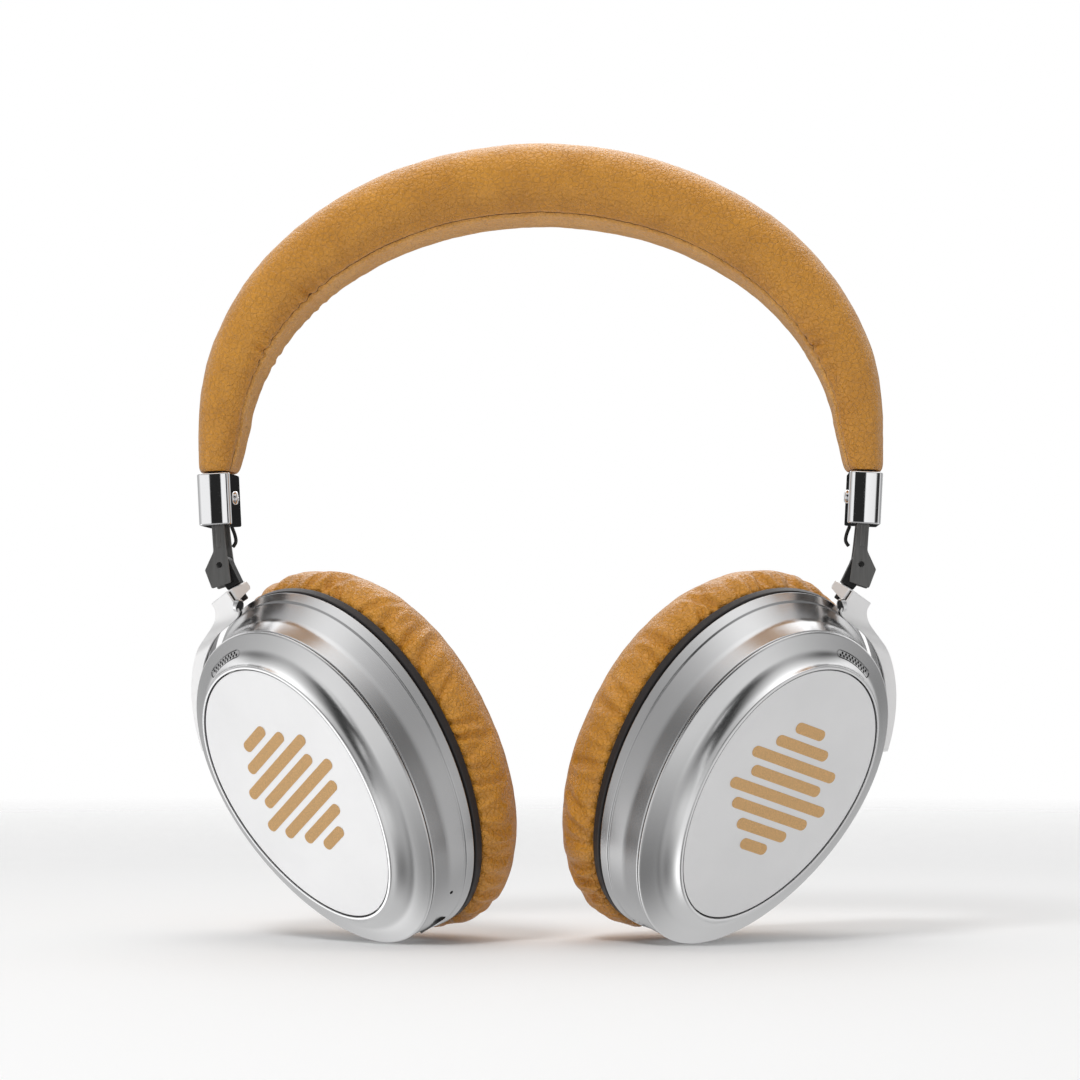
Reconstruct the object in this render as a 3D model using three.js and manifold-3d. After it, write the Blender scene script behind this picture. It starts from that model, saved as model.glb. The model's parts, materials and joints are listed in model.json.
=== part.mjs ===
// Over-ear headphones that fold: padded headband, two sliders, fold hinges, swivelling
// single-arm yokes and tilting oval cups. Millimetres, +Z up, -Y is the wearer's front, and the
// origin is the middle of the headband's inner crown face. The cups are shown folded inwards and
// swivelled forwards, as the pair is set down. The right side is a mirror image of the left.
import * as THREE from "three";
import { LoftGeometry } from "three/addons/geometries/LoftGeometry.js";
import { mergeVertices } from "three/addons/utils/BufferGeometryUtils.js";
import Module from "manifold-3d";

const wasm = await Module();
wasm.setup();

const GAP = 0.3; // clearance between neighbouring pieces
const rad = THREE.MathUtils.degToRad;

// Headband: half an ellipse on two straight legs
const BAND_HALF_SPAN = 85.5;
const BAND_RISE = 69.75;
const BAND_CENTRE_Z = -49.5;
const BAND_END_Z = -61.8;
const BAND_END = { thickness: 9.5, width: 20.5 };
const BAND_SHOULDER = { thickness: 12.4, width: 23 };
const BAND_CROWN = { thickness: 20.126, width: 33 };
const COVER_WALL = 1.1;
const OUTER_RELIEF = 7; // the padding is open on the outer side of each guide
const SPRING_DEPTH = 3.6; // below the outer curve
const SPRING = { thickness: 0.8, width: 12 };

// Slider: measured from the fold pin, along an axis that leans in by TOE
const PIN_X = 79.8;
const PIN_Z = -85.05;
const TOE = rad(3);
const SLEEVE = { bottom: 9.9, height: 12.9, thickness: 8.2, depth: 20, corner: 2.8 };
const GUIDE = { bottom: 10.4, top: 39, outer: 1.6, inner: 2.2, width: 14.2 };
const BAR = { bottom: 4.3, top: 37.5, thickness: 1.2, width: 12 };
const SLOT = { thickness: 1.8, width: 12.6 };
const CHEEK = { inner: 4.6, thickness: 1.2 };
const PIN = { radius: 0.8, length: 12.4 };
const SCREW_HEIGHT = 16.8;

// Yoke and cup, measured in the cup's own frame: x to the front, y up, z outwards
const FOLD = rad(33);
const SWIVEL = rad(48);
const CUP_DROP = 58.2; // fold pin to cup centre
const OVAL_DIFFERENCE = 10.8; // half length less half width, the same for every oval
const EGG = 0.095; // how much wider the top is than the middle
const SEGMENTS = 36;
const SHELL_DROP = 2; // the shell's middle below the cup's
const YOKE = { front: 3.2, rear: -4.4, top: 51.7, foot: 46.9, bottom: -1.4 };
const COVER = { onBlock: 5, onArm: 7.1, riseFrom: 92, riseTo: 112, thickness: 1.4, inset: 0.1 };
const ARM = { inner: 46.6, outer: 50, bottom: 4.7, start: 84, end: 150 };
const PIN_BOSS = { from: 140, inner: 47.2, outer: 50, bottom: 2.6 };
const POST = { radius: 1.1, bottom: -10.4 };
const TILT_PIN = { y: 24.6, z: 4.4, radius: 0.9, outer: -33.6, inner: -26.5, boreLength: 12 };

const LEATHER = { color: 0xa66e2f, roughness: 0.6, metalness: 0 };
const ALUMINIUM = { color: 0xc9c9cb, roughness: 0.32, metalness: 0.9 };
const CHROME = { color: 0xdedee0, roughness: 0.08, metalness: 1 };
const STEEL = { color: 0x5c5b59, roughness: 0.4, metalness: 0.8 };
const BLACK = { color: 0x2b2828, roughness: 0.6, metalness: 0 };
const FOAM = { color: 0x55504a, roughness: 0.95, metalness: 0 };
const BOARD = { color: 0x1f5a38, roughness: 0.5, metalness: 0.1 };
const PLATE = { color: 0xe4e4e4, roughness: 0.4, metalness: 0.2 };

// ---------- solids ----------

function signedVolume(geometry) {
  const position = geometry.attributes.position;
  const index = geometry.index.array;
  const [a, b, c] = [new THREE.Vector3(), new THREE.Vector3(), new THREE.Vector3()];
  let sum = 0;
  for (let i = 0; i < index.length; i += 3) {
    a.fromBufferAttribute(position, index[i]);
    b.fromBufferAttribute(position, index[i + 1]);
    c.fromBufferAttribute(position, index[i + 2]);
    sum += a.dot(b.cross(c));
  }
  return sum;
}

// Joins shared vertices and makes the faces point out
function welded(source) {
  const bare = new THREE.BufferGeometry();
  bare.setAttribute("position", source.attributes.position.clone());
  if (source.index) bare.setIndex(source.index.clone());
  const geometry = mergeVertices(bare, 1e-4);
  if (signedVolume(geometry) < 0) {
    const index = geometry.index.array;
    for (let i = 0; i < index.length; i += 3) {
      [index[i], index[i + 1]] = [index[i + 1], index[i]];
    }
  }
  return geometry;
}

function toSolid(source) {
  const geometry = welded(source);
  const vertProperties = new Float32Array(geometry.attributes.position.array);
  const triVerts = new Uint32Array(geometry.index.array);
  return new wasm.Manifold(new wasm.Mesh({ numProp: 3, vertProperties, triVerts }));
}

function fromSolid(solid) {
  const { vertProperties, triVerts } = solid.getMesh();
  const geometry = new THREE.BufferGeometry();
  geometry.setAttribute("position", new THREE.BufferAttribute(new Float32Array(vertProperties), 3));
  geometry.setIndex(new THREE.BufferAttribute(new Uint32Array(triVerts), 1));
  return geometry;
}

function join(...geometries) {
  return fromSolid(geometries.map(toSolid).reduce((all, solid) => all.add(solid)));
}

function cut(geometry, ...tools) {
  return fromSolid(tools.map(toSolid).reduce((rest, tool) => rest.subtract(tool), toSolid(geometry)));
}

function addMesh(group, name, geometry, finish) {
  const closed = welded(geometry);
  closed.computeVertexNormals();
  const mesh = new THREE.Mesh(closed, new THREE.MeshStandardMaterial(finish));
  mesh.name = name;
  group.add(mesh);
  return mesh;
}

function box(x0, x1, y0, y1, z0, z1) {
  const geometry = new THREE.BoxGeometry(x1 - x0, y1 - y0, z1 - z0);
  return geometry.translate((x0 + x1) / 2, (y0 + y1) / 2, (z0 + z1) / 2);
}

function roundedRectangle(width, height, corner, steps = 4) {
  const outline = [];
  const centres = [[1, 1], [-1, 1], [-1, -1], [1, -1]];
  centres.forEach(([sx, sy], quarter) => {
    for (let i = 0; i <= steps; i += 1) {
      const angle = (quarter + i / steps) * Math.PI / 2;
      const x = sx * (width / 2 - corner) + corner * Math.cos(angle);
      const y = sy * (height / 2 - corner) + corner * Math.sin(angle);
      outline.push(new THREE.Vector2(x, y));
    }
  });
  return outline;
}

function prism(outline, from, to) {
  const shape = new THREE.Shape(outline);
  const geometry = new THREE.ExtrudeGeometry(shape, { depth: to - from, bevelEnabled: false });
  return geometry.translate(0, 0, from);
}

function rod(radius, length, sides = 16) {
  return new THREE.CylinderGeometry(radius, radius, length, sides);
}

// ---------- headband ----------

// A station on the band: t in degrees round the ellipse, or the drop below t = 0 on a leg
function bandStation(t, drop = 0) {
  const angle = rad(t);
  const end = t > 90 ? -1 : 1;
  const grow = drop > 0 ? 0 : Math.sin(angle) ** 0.7;
  const leg = drop / (BAND_CENTRE_Z - BAND_END_Z);
  const shoulder = (key) => BAND_SHOULDER[key] + leg * (BAND_END[key] - BAND_SHOULDER[key]);
  const size = (key) => shoulder(key) + grow * (BAND_CROWN[key] - BAND_SHOULDER[key]);
  const outer = new THREE.Vector3(
    BAND_HALF_SPAN * Math.cos(angle), 0, BAND_CENTRE_Z + BAND_RISE * Math.sin(angle) - drop);
  const normal = new THREE.Vector3(
    Math.cos(angle) / BAND_HALF_SPAN, 0, Math.sin(angle) / BAND_RISE).normalize();
  if (drop > 0) normal.set(end, 0, 0);
  return { outer, normal, thickness: size("thickness"), width: size("width") };
}

function bandStations(overrun = 0) {
  const leg = BAND_CENTRE_Z - BAND_END_Z + overrun;
  const stations = [bandStation(0, leg), bandStation(0, leg / 2)];
  const angles = [0, 4, 9, 15, 22, 30, 38, 46, 54, 62, 70, 78, 86];
  angles.forEach((t) => stations.push(bandStation(t)));
  angles.reverse().forEach((t) => stations.push(bandStation(180 - t)));
  stations.push(bandStation(180, leg / 2), bandStation(180, leg));
  return stations;
}

// Flattened oval section, inset by a margin; its inner side is one flat facet
function bandSection({ outer, normal, thickness, width }, inset) {
  const sides = 14;
  const squareness = 0.78;
  const power = (value) => Math.sign(value) * Math.abs(value) ** squareness;
  const flat = power(Math.cos(Math.PI / sides));
  const points = [];
  for (let k = 0; k < sides; k += 1) {
    const angle = (k + 0.5) * 2 * Math.PI / sides;
    const across = (thickness / 2 - inset) * power(Math.cos(angle)) / flat;
    const y = (width / 2 - inset) * power(Math.sin(angle));
    const point = outer.clone().addScaledVector(normal, across - thickness / 2);
    points.push(point.setY(y));
  }
  return points;
}

function bandLoft(inset, overrun = 0) {
  const sections = bandStations(overrun).map((station) => bandSection(station, inset));
  return new LoftGeometry(sections, { closed: true, capStart: true, capEnd: true });
}

function springLoft(thickness, width, fromAngle) {
  const sections = [];
  const steps = 20;
  for (let i = 0; i <= steps; i += 1) {
    const { outer, normal } = bandStation(fromAngle + (180 - 2 * fromAngle) * i / steps);
    const near = outer.clone().addScaledVector(normal, thickness / 2 - SPRING_DEPTH);
    const far = outer.clone().addScaledVector(normal, -thickness / 2 - SPRING_DEPTH);
    sections.push([
      near.clone().setY(-width / 2), near.clone().setY(width / 2),
      far.clone().setY(width / 2), far.clone().setY(-width / 2),
    ]);
  }
  return new LoftGeometry(sections, { closed: true, capStart: true, capEnd: true });
}

function guidePocket(side) {
  const reach = GUIDE.width / 2 + GAP;
  const pocket = box(-OUTER_RELIEF, GUIDE.inner + GAP, -reach, reach, SLEEVE.bottom + 5, GUIDE.top + GAP);
  pocket.rotateY(-TOE);
  pocket.translate(-PIN_X, 0, PIN_Z);
  if (side === "right") pocket.rotateZ(Math.PI);
  return pocket;
}

function buildHeadband() {
  const band = new THREE.Group();
  addMesh(band, "headband_cover", cut(bandLoft(0), bandLoft(COVER_WALL, 2)), LEATHER);
  const padding = cut(
    bandLoft(COVER_WALL + GAP, -0.5),
    springLoft(SPRING.thickness + 2 * GAP, SPRING.width + 2 * GAP, 3),
    guidePocket("left"),
    guidePocket("right"),
  );
  addMesh(band, "headband_padding", padding, FOAM);
  addMesh(band, "headband_spring", springLoft(SPRING.thickness, SPRING.width, 5.5), STEEL);
  return band;
}

// ---------- slider and fold hinge, in the slider's frame ----------

function sleeveGeometry() {
  const { bottom, height, thickness, depth, corner } = SLEEVE;
  const outer = prism(roundedRectangle(thickness, depth, corner), bottom, bottom + height);
  const reach = GUIDE.width / 2 + GAP;
  const bore = box(-GUIDE.outer - GAP, GUIDE.inner + GAP, -reach, reach, bottom - 1, bottom + height + 1);
  const hole = rod(1.2, 6).rotateZ(Math.PI / 2).translate(4, 0, SCREW_HEIGHT);
  return cut(outer, bore, hole);
}

function screwGeometry() {
  const face = SLEEVE.thickness / 2;
  const profile = [[0, 1.5], [0.9, 1.5], [0.9, face + 0.1], [1.65, face + 0.1]];
  profile.push([1.65, face + 0.3], [1.25, face + 0.65], [0.6, face + 0.75], [0.6, face + 0.3]);
  profile.push([0, face + 0.3]);
  const geometry = new THREE.LatheGeometry(profile.map(([r, h]) => new THREE.Vector2(r, h)), 12);
  return geometry.rotateZ(-Math.PI / 2).translate(0, 0, SCREW_HEIGHT);
}

function guideGeometry() {
  const reach = GUIDE.width / 2;
  const body = box(-GUIDE.outer, GUIDE.inner, -reach, reach, GUIDE.bottom, GUIDE.top);
  const channel = box(
    -SLOT.thickness / 2, SLOT.thickness / 2, -SLOT.width / 2, SLOT.width / 2,
    GUIDE.bottom - 1, GUIDE.top - 1);
  const screwSeat = rod(1.2, 2).rotateZ(Math.PI / 2).translate(GUIDE.inner, 0, SCREW_HEIGHT);
  return cut(body, channel, screwSeat);
}

// Two five-sided cheeks folded forward from the flat bar that runs up into the guide
function sliderGeometry() {
  const outline = [
    [-1.5, 9.5], [-1.3, 3.3], [-3.7, -1.15], [-2.2, -5.8], [2.7, -4.5], [1.9, 3.8], [1.5, 9.5],
  ].map(([x, z]) => new THREE.Vector2(x, z));
  const cheek = (y) => prism(outline, -y - CHEEK.thickness, -y).rotateX(Math.PI / 2);
  const bar = box(
    -BAR.thickness / 2, BAR.thickness / 2, -BAR.width / 2, BAR.width / 2, BAR.bottom, BAR.top);
  const pinBore = rod(PIN.radius + GAP, 2 * PIN.length);
  const pair = [cheek(-CHEEK.inner - CHEEK.thickness), cheek(CHEEK.inner)];
  return cut(join(bar, ...pair), pinBore);
}

function cableGeometry() {
  const path = new THREE.CatmullRomCurve3([
    new THREE.Vector3(3.3, -2.6, 9.2), new THREE.Vector3(3.9, -2.8, 7.2),
    new THREE.Vector3(4, -2.8, 5.4), new THREE.Vector3(3, -2.6, 4.5),
  ]);
  const circle = new THREE.Shape().absarc(0, 0, 0.45, 0, 2 * Math.PI);
  const settings = { steps: 10, curveSegments: 4, extrudePath: path, bevelEnabled: false };
  return new THREE.ExtrudeGeometry(circle, settings);
}

// Barrel on the fold pin, with a round post down into the yoke; in the folded frame
function knuckleGeometry() {
  const barrelRadius = 3;
  const foot = YOKE.top - CUP_DROP + GAP;
  const outline = [];
  for (let degrees = -20; degrees <= 200; degrees += 20) {
    const angle = rad(degrees);
    outline.push(new THREE.Vector2(barrelRadius * Math.cos(angle), barrelRadius * Math.sin(angle)));
  }
  outline.push(new THREE.Vector2(-2, foot), new THREE.Vector2(2, foot));
  const halfWidth = CHEEK.inner - GAP;
  const barrel = prism(outline, -halfWidth, halfWidth).rotateX(Math.PI / 2);
  const post = rod(POST.radius, foot - POST.bottom + 1).rotateX(Math.PI / 2);
  post.translate(0, 0, (foot + 1 + POST.bottom) / 2);
  const pinBore = rod(PIN.radius + GAP, 2 * PIN.length);
  return cut(join(barrel, post), pinBore);
}

// ---------- yoke and cup, in the cup's frame ----------

// The drop lowers an oval's middle below the cup's
function ovalPoint([radius, z, drop = 0], degrees) {
  const angle = rad(degrees);
  const width = (radius - OVAL_DIFFERENCE) * (1 + EGG * Math.sin(angle));
  return new THREE.Vector3(width * Math.cos(angle), radius * Math.sin(angle) - drop, z);
}

function ovalSection(oval, segments = SEGMENTS) {
  const points = [];
  for (let i = 0; i < segments; i += 1) points.push(ovalPoint(oval, 360 * i / segments));
  return points;
}

// A lid or plate: the path of [radius, z, drop] runs from the middle of one face to the other's
function ovalLid(path, segments) {
  const sections = path.map((oval) => ovalSection(oval, segments));
  return new LoftGeometry(sections, { closed: true, capStart: true, capEnd: true });
}

// A ring: the path goes up the outside and down the inside
function ovalRing(path, segments) {
  const sections = [...path, path[0]].map((oval) => ovalSection(oval, segments));
  return new LoftGeometry(sections, { closed: true, capStart: false, capEnd: false });
}

// A piece of such a ring between two angles; its path may change with the angle
function ovalArc(pathAt, from, to, steps) {
  const sections = [];
  for (let i = 0; i <= steps; i += 1) {
    const degrees = from + (to - from) * i / steps;
    const path = typeof pathAt === "function" ? pathAt(degrees) : pathAt;
    sections.push(path.map((oval) => ovalPoint(oval, degrees)).reverse());
  }
  return new LoftGeometry(sections, { closed: true, capStart: true, capEnd: true });
}

function barPath(inner, outer, bottom, top, drop = 0) {
  return [[outer, bottom, drop], [outer, top, drop], [inner, top, drop], [inner, bottom, drop]];
}

// The yoke's top face rises from the block to the arm
function yokeSplit(degrees) {
  const { onBlock, onArm, riseFrom, riseTo } = COVER;
  return onBlock + (onArm - onBlock) * THREE.MathUtils.smoothstep(degrees, riseFrom, riseTo);
}

function armOuter(degrees, inset) {
  const nearBlock = 1 - THREE.MathUtils.smoothstep(degrees, 92, 104);
  return ARM.outer - inset + nearBlock * (YOKE.foot + SHELL_DROP + 1 - ARM.outer);
}

// One arm round the upper rear of the cup, from below the block to the tilt pin
function armGeometry(inset, levels) {
  const pathAt = (degrees) => {
    const [bottom, top] = levels(degrees);
    return barPath(ARM.inner + inset, armOuter(degrees, inset), bottom, top, SHELL_DROP);
  };
  return ovalArc(pathAt, ARM.start + inset, ARM.end - inset, 14);
}

function yokeGeometry() {
  const block = box(YOKE.rear, YOKE.front, YOKE.foot, YOKE.top, YOKE.bottom, COVER.onBlock);
  const arm = armGeometry(0, (degrees) => [ARM.bottom, yokeSplit(degrees)]);
  const { from, outer, inner, bottom } = PIN_BOSS;
  const boss = ovalArc(barPath(inner, outer, bottom, ARM.bottom + 1, SHELL_DROP), from, ARM.end, 2);
  const bore = rod(POST.radius + GAP, 12).translate(0, YOKE.top, 0);
  return cut(join(block, arm, boss), bore, tiltPinBore());
}

function yokeCoverGeometry() {
  const { rear, front, foot, top } = YOKE;
  const { inset, onBlock, thickness } = COVER;
  const block = box(rear + inset, front - inset, foot, top - inset, onBlock + GAP, onBlock + thickness);
  const levels = (degrees) => [yokeSplit(degrees) + GAP, yokeSplit(degrees) + thickness];
  return join(block, armGeometry(inset, levels));
}

// A blind bore in the arm that carries on through the cup's wall
function tiltPinBore() {
  const bore = rod(TILT_PIN.radius + GAP, TILT_PIN.boreLength, 12).rotateZ(Math.PI / 2);
  return bore.translate(TILT_PIN.outer - GAP + TILT_PIN.boreLength / 2, TILT_PIN.y, TILT_PIN.z);
}

function tiltPinGeometry() {
  const length = TILT_PIN.inner - TILT_PIN.outer;
  const pin = rod(TILT_PIN.radius, length, 12).rotateZ(Math.PI / 2);
  return pin.translate((TILT_PIN.inner + TILT_PIN.outer) / 2, TILT_PIN.y, TILT_PIN.z);
}

// Side wall of the cup: a chamfer at the foot, then a facet that leans in to the shell's wall
const BASE_PATH = [
  [46, 0, 0.3], [46.7, 0.6, 0.3], [45.8, 3.2, 0.9], [45, 5, 1.5], [43.8, 8.2, 2], [43.5, 9.4, 2],
  [40.2, 9.4, 1], [40.2, 0, 0.3],
];
const BUTTON = { inner: 41.2, outer: 45.8, bottom: 4.4, top: 7.4, drop: 1.5, sideGap: 0.5 };
const BUTTONS = {
  left: [["power_button", 205, 211]],
  right: [
    ["volume_up_button", 194, 200], ["play_button", 203, 209], ["volume_down_button", 212, 218],
  ],
};

// The port's opening in the foot of the wall
function portCut(side, clearance) {
  if (side === "left") {
    const halfWidth = 4.5 + clearance;
    return box(-halfWidth, halfWidth, -50, -38, 4.4 - clearance, 7.6 + clearance);
  }
  return rod(3 + clearance, 14).translate(0, -44, 5.6);
}

function baseGeometry(side) {
  const tools = [portCut(side, GAP), tiltPinBore()];
  const { bottom, top, drop, sideGap } = BUTTON;
  const slot = barPath(38, 49, bottom - GAP, top + GAP, drop);
  BUTTONS[side].forEach(([, from, to]) => {
    tools.push(ovalArc(slot, from - sideGap, to + sideGap, 2));
  });
  return cut(ovalRing(BASE_PATH), ...tools);
}

// Domed outer shell: steep wall, light shoulder, deep valley and a raised lip round the plate's seat
const SHELL_PATH = [
  [20, 14.05, 1], [38.2, 14.1, 1.8], [39.8, 9.7, 2], [43.4, 9.7, 2], [43.1, 14.2, 2],
  [42.9, 14.5, 2], [40, 15.8, 1.9], [37.6, 16.9, 1.6], [36.1, 18.7, 1.2],
  [35.3, 20.2, 0.8], [34.3, 20.2, 0.8], [34.1, 18.1, 0.8], [20, 18.2, 0.8],
];
const VENT = { inner: 37.9, outer: 39.6, bottom: 15.2, innerTop: 16.9, outerTop: 16.2, from: 79, to: 104 };
const VENT_DROP = 1.7;

function shellGeometry() {
  const { inner, outer, bottom, from, to } = VENT;
  const path = barPath(inner - GAP, outer + GAP, bottom - GAP, 19, VENT_DROP);
  const pocket = ovalArc(path, from - 1, to + 1, 4);
  return cut(ovalLid(SHELL_PATH), pocket);
}

function ventGeometry() {
  const { inner, outer, bottom, innerTop, outerTop, from, to } = VENT;
  const path = [[outer, bottom], [outer, outerTop], [inner, innerTop], [inner, bottom]];
  return ovalArc(path.map((point) => [...point, VENT_DROP]), from, to, 4);
}

function usbPortGeometry() {
  const outline = roundedRectangle(9, 3.2, 1.5, 3);
  const shape = new THREE.Shape(outline);
  shape.holes.push(new THREE.Path(roundedRectangle(8.2, 2.4, 1.1, 3).reverse()));
  const geometry = new THREE.ExtrudeGeometry(shape, { depth: 6.5, bevelEnabled: false });
  return geometry.rotateX(-Math.PI / 2).translate(0, -45.6, 6);
}

function audioJackGeometry() {
  const ring = [[1.75, 0], [3, 0], [3, 6], [1.75, 6], [1.75, 0]];
  const profile = ring.map(([r, h]) => new THREE.Vector2(r, h));
  return new THREE.LatheGeometry(profile, 16).translate(0, -45.6, 5.6);
}

function driverGeometry() {
  const profile = [[0, -1.2], [19.8, -1.2], [19.8, 1.4], [16, 4], [11.5, 5], [11.5, 8.4], [0, 8.4]];
  const points = profile.map(([r, h]) => new THREE.Vector2(r, h));
  return new THREE.LatheGeometry(points, 24).rotateX(Math.PI / 2);
}

const BAFFLE_SCREWS = [["upper", 31], ["lower", -31]];

function baffleGeometry() {
  const opening = rod(20.2, 10, 24).rotateX(Math.PI / 2);
  const holes = BAFFLE_SCREWS.map(([, y]) => rod(1.2, 8, 10).rotateX(Math.PI / 2).translate(0, y, 0));
  return cut(ovalLid([[39.8, -1.2], [39.8, 0.2]]), opening, ...holes);
}

function baffleScrewGeometry(y) {
  const profile = [[0, -2], [1.7, -2], [1.7, -1.4], [0.8, -1.4], [0.8, 4.5], [0, 4.5]];
  const points = profile.map(([r, h]) => new THREE.Vector2(r, h));
  return new THREE.LatheGeometry(points, 10).rotateX(Math.PI / 2).translate(0, y, 0);
}

const CUSHION_DROP = 1.2;
const CUSHION_PATH = [
  [40.6, -21], [44.8, -18.4], [47.7, -14.2], [48.7, -9.6], [48, -5.4], [45.6, -3], [35, -3],
  [31.8, -6], [30.8, -11], [32, -17], [34.4, -20.2], [37.4, -21.3],
].map((oval) => [...oval, CUSHION_DROP]);

function addCup(cup, side) {
  const add = (name, geometry, finish) => addMesh(cup, `${side}_${name}`, geometry, finish);
  add("cover_plate", ovalLid([[33.8, 18.5, 0.8], [33.8, 19.9, 0.8]]), PLATE);
  add("cup_shell", shellGeometry(), ALUMINIUM);
  add("vent_grille", ventGeometry(), BLACK);
  add("cup_base", baseGeometry(side), ALUMINIUM);
  add("cushion_ring", ovalRing(barPath(40.4, 46.9, -2.6, -0.3, 0.3)), BLACK);
  add("ear_cushion", ovalRing(CUSHION_PATH, 32), LEATHER);
  add("speaker_cloth", ovalLid([[39.6, -2.7], [39.6, -2.3]], 24), FOAM);
  add("baffle", baffleGeometry(), BLACK);
  BAFFLE_SCREWS.forEach(([name, y]) => add(`baffle_screw_${name}`, baffleScrewGeometry(y), STEEL));
  add("driver", driverGeometry(), STEEL);
  add("circuit_board", box(-13, 13, -17, 17, 12.9, 13.7), BOARD);
  if (side === "left") add("usb_port", usbPortGeometry(), STEEL);
  else {
    add("audio_jack", audioJackGeometry(), STEEL);
    add("battery", box(-10, 10, -15, 15, 8.8, 12.6), PLATE);
  }
  const keyPath = barPath(BUTTON.inner, BUTTON.outer, BUTTON.bottom, BUTTON.top, BUTTON.drop);
  BUTTONS[side].forEach(([name, from, to]) => {
    add(name, ovalArc(keyPath, from, to, 2), STEEL);
  });
}

// ---------- assembly ----------

function buildSide(side) {
  const pin = new THREE.Group();
  pin.position.set(-PIN_X, 0, PIN_Z);
  const add = (group, name, geometry, finish) => addMesh(group, `${side}_${name}`, geometry, finish);

  const slider = new THREE.Group();
  slider.rotation.y = -TOE;
  add(slider, "end_sleeve", sleeveGeometry(), CHROME);
  add(slider, "sleeve_screw", screwGeometry(), STEEL);
  add(slider, "slider_guide", guideGeometry(), BLACK);
  add(slider, "slider_bar", sliderGeometry(), STEEL);
  add(slider, "hinge_pin", rod(PIN.radius, PIN.length), BLACK);
  add(slider, "speaker_cable", cableGeometry(), BLACK);

  const folded = new THREE.Group();
  folded.rotation.y = -FOLD;
  add(folded, "hinge_knuckle", knuckleGeometry(), BLACK);

  const swivelled = new THREE.Group();
  swivelled.rotation.z = SWIVEL;
  const cup = new THREE.Group();
  const front = new THREE.Vector3(0, -1, 0);
  const up = new THREE.Vector3(0, 0, 1);
  const outwards = new THREE.Vector3(-1, 0, 0);
  cup.quaternion.setFromRotationMatrix(new THREE.Matrix4().makeBasis(front, up, outwards));
  cup.position.z = -CUP_DROP;
  add(cup, "yoke", yokeGeometry(), ALUMINIUM);
  add(cup, "yoke_cover", yokeCoverGeometry(), ALUMINIUM);
  add(cup, "tilt_pin", tiltPinGeometry(), STEEL);
  addCup(cup, side);

  swivelled.add(cup);
  folded.add(swivelled);
  pin.add(slider, folded);
  return pin;
}

const headphones = new THREE.Group();
headphones.add(buildHeadband());
headphones.add(buildSide("left"));
const mirror = new THREE.Group();
mirror.scale.x = -1;
mirror.add(buildSide("right"));
headphones.add(mirror);

export default headphones;
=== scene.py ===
"""Over-ear headphones: fine surfaces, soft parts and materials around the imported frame.

All shapes are worked out in millimetres, in three local frames taken from the frame's joints and mounts:
  cup     x to the wearer's front, y up to the fold pin, z outwards through the cover plate
  slider  x towards the middle of the headband, y back, z up along the slider, origin on the fold pin
  folded  like the slider's, but along the folded yoke
The right side mirrors the left.
"""

import json
import math

import bmesh
import bpy
import numpy as np
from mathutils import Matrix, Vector, noise


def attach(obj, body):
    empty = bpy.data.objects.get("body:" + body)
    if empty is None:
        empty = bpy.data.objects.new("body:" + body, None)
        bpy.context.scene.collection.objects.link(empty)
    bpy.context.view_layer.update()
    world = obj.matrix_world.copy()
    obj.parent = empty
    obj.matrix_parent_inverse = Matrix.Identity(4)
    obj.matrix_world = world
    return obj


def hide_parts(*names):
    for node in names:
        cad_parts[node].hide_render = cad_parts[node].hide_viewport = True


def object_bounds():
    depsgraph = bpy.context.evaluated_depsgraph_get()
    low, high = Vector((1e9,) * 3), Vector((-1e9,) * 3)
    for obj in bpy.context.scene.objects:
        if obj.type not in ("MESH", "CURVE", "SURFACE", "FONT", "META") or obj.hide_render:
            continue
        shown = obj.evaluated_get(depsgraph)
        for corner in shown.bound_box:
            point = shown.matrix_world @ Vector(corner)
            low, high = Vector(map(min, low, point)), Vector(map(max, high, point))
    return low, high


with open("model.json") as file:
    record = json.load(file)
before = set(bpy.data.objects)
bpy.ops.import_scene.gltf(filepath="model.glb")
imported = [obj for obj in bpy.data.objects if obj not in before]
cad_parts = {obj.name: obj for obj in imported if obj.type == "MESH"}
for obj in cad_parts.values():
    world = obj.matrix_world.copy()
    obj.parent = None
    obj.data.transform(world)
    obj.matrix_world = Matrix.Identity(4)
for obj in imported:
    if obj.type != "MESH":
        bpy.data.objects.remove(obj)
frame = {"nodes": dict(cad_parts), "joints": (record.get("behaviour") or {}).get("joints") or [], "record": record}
CAD_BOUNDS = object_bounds()
RECORD = frame["record"]
MM = 0.001
SIDES = ("left", "right")

# ---------- driving sizes, in millimetres ----------

BAND = {"half_span": 85.5, "rise": 69.75, "centre_z": -49.5, "end_z": -61.8}
BAND_END = (9.5, 20.5)  # thickness, width
BAND_SHOULDER = (12.4, 23.0)
BAND_CROWN = (20.1, 33.0)
SEAM_ANGLE = 142.0  # round the band's section, from its outer side
STITCH = {"length": 1.9, "pitch": 2.7, "radius": 0.2, "lift": 0.12}

OVAL_DIFFERENCE = 10.8  # half length less half width of every oval
EGG = 0.095  # how much wider every oval is at its top than at its middle
PLATE_FACE = (0.0, -0.8, 19.9)  # where the cup face mount sits in the cup's frame

YOKE = {"rear": -4.4, "front": 3.2, "top": 51.7, "low": -1.4, "split": 5.0, "arm_split": 7.1}
COVER_THICKNESS = 1.4
# The strip in the gap between the yoke and its cover is drawn black as painted shade for that gap.
JOINT_STRIP = 0.75  # the black line between the yoke and its cover
ARM = {"inner": 46.6, "outer": 50.0, "low": 4.7, "end": 150.0, "drop": 2.0, "lug": 2.1}

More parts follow.
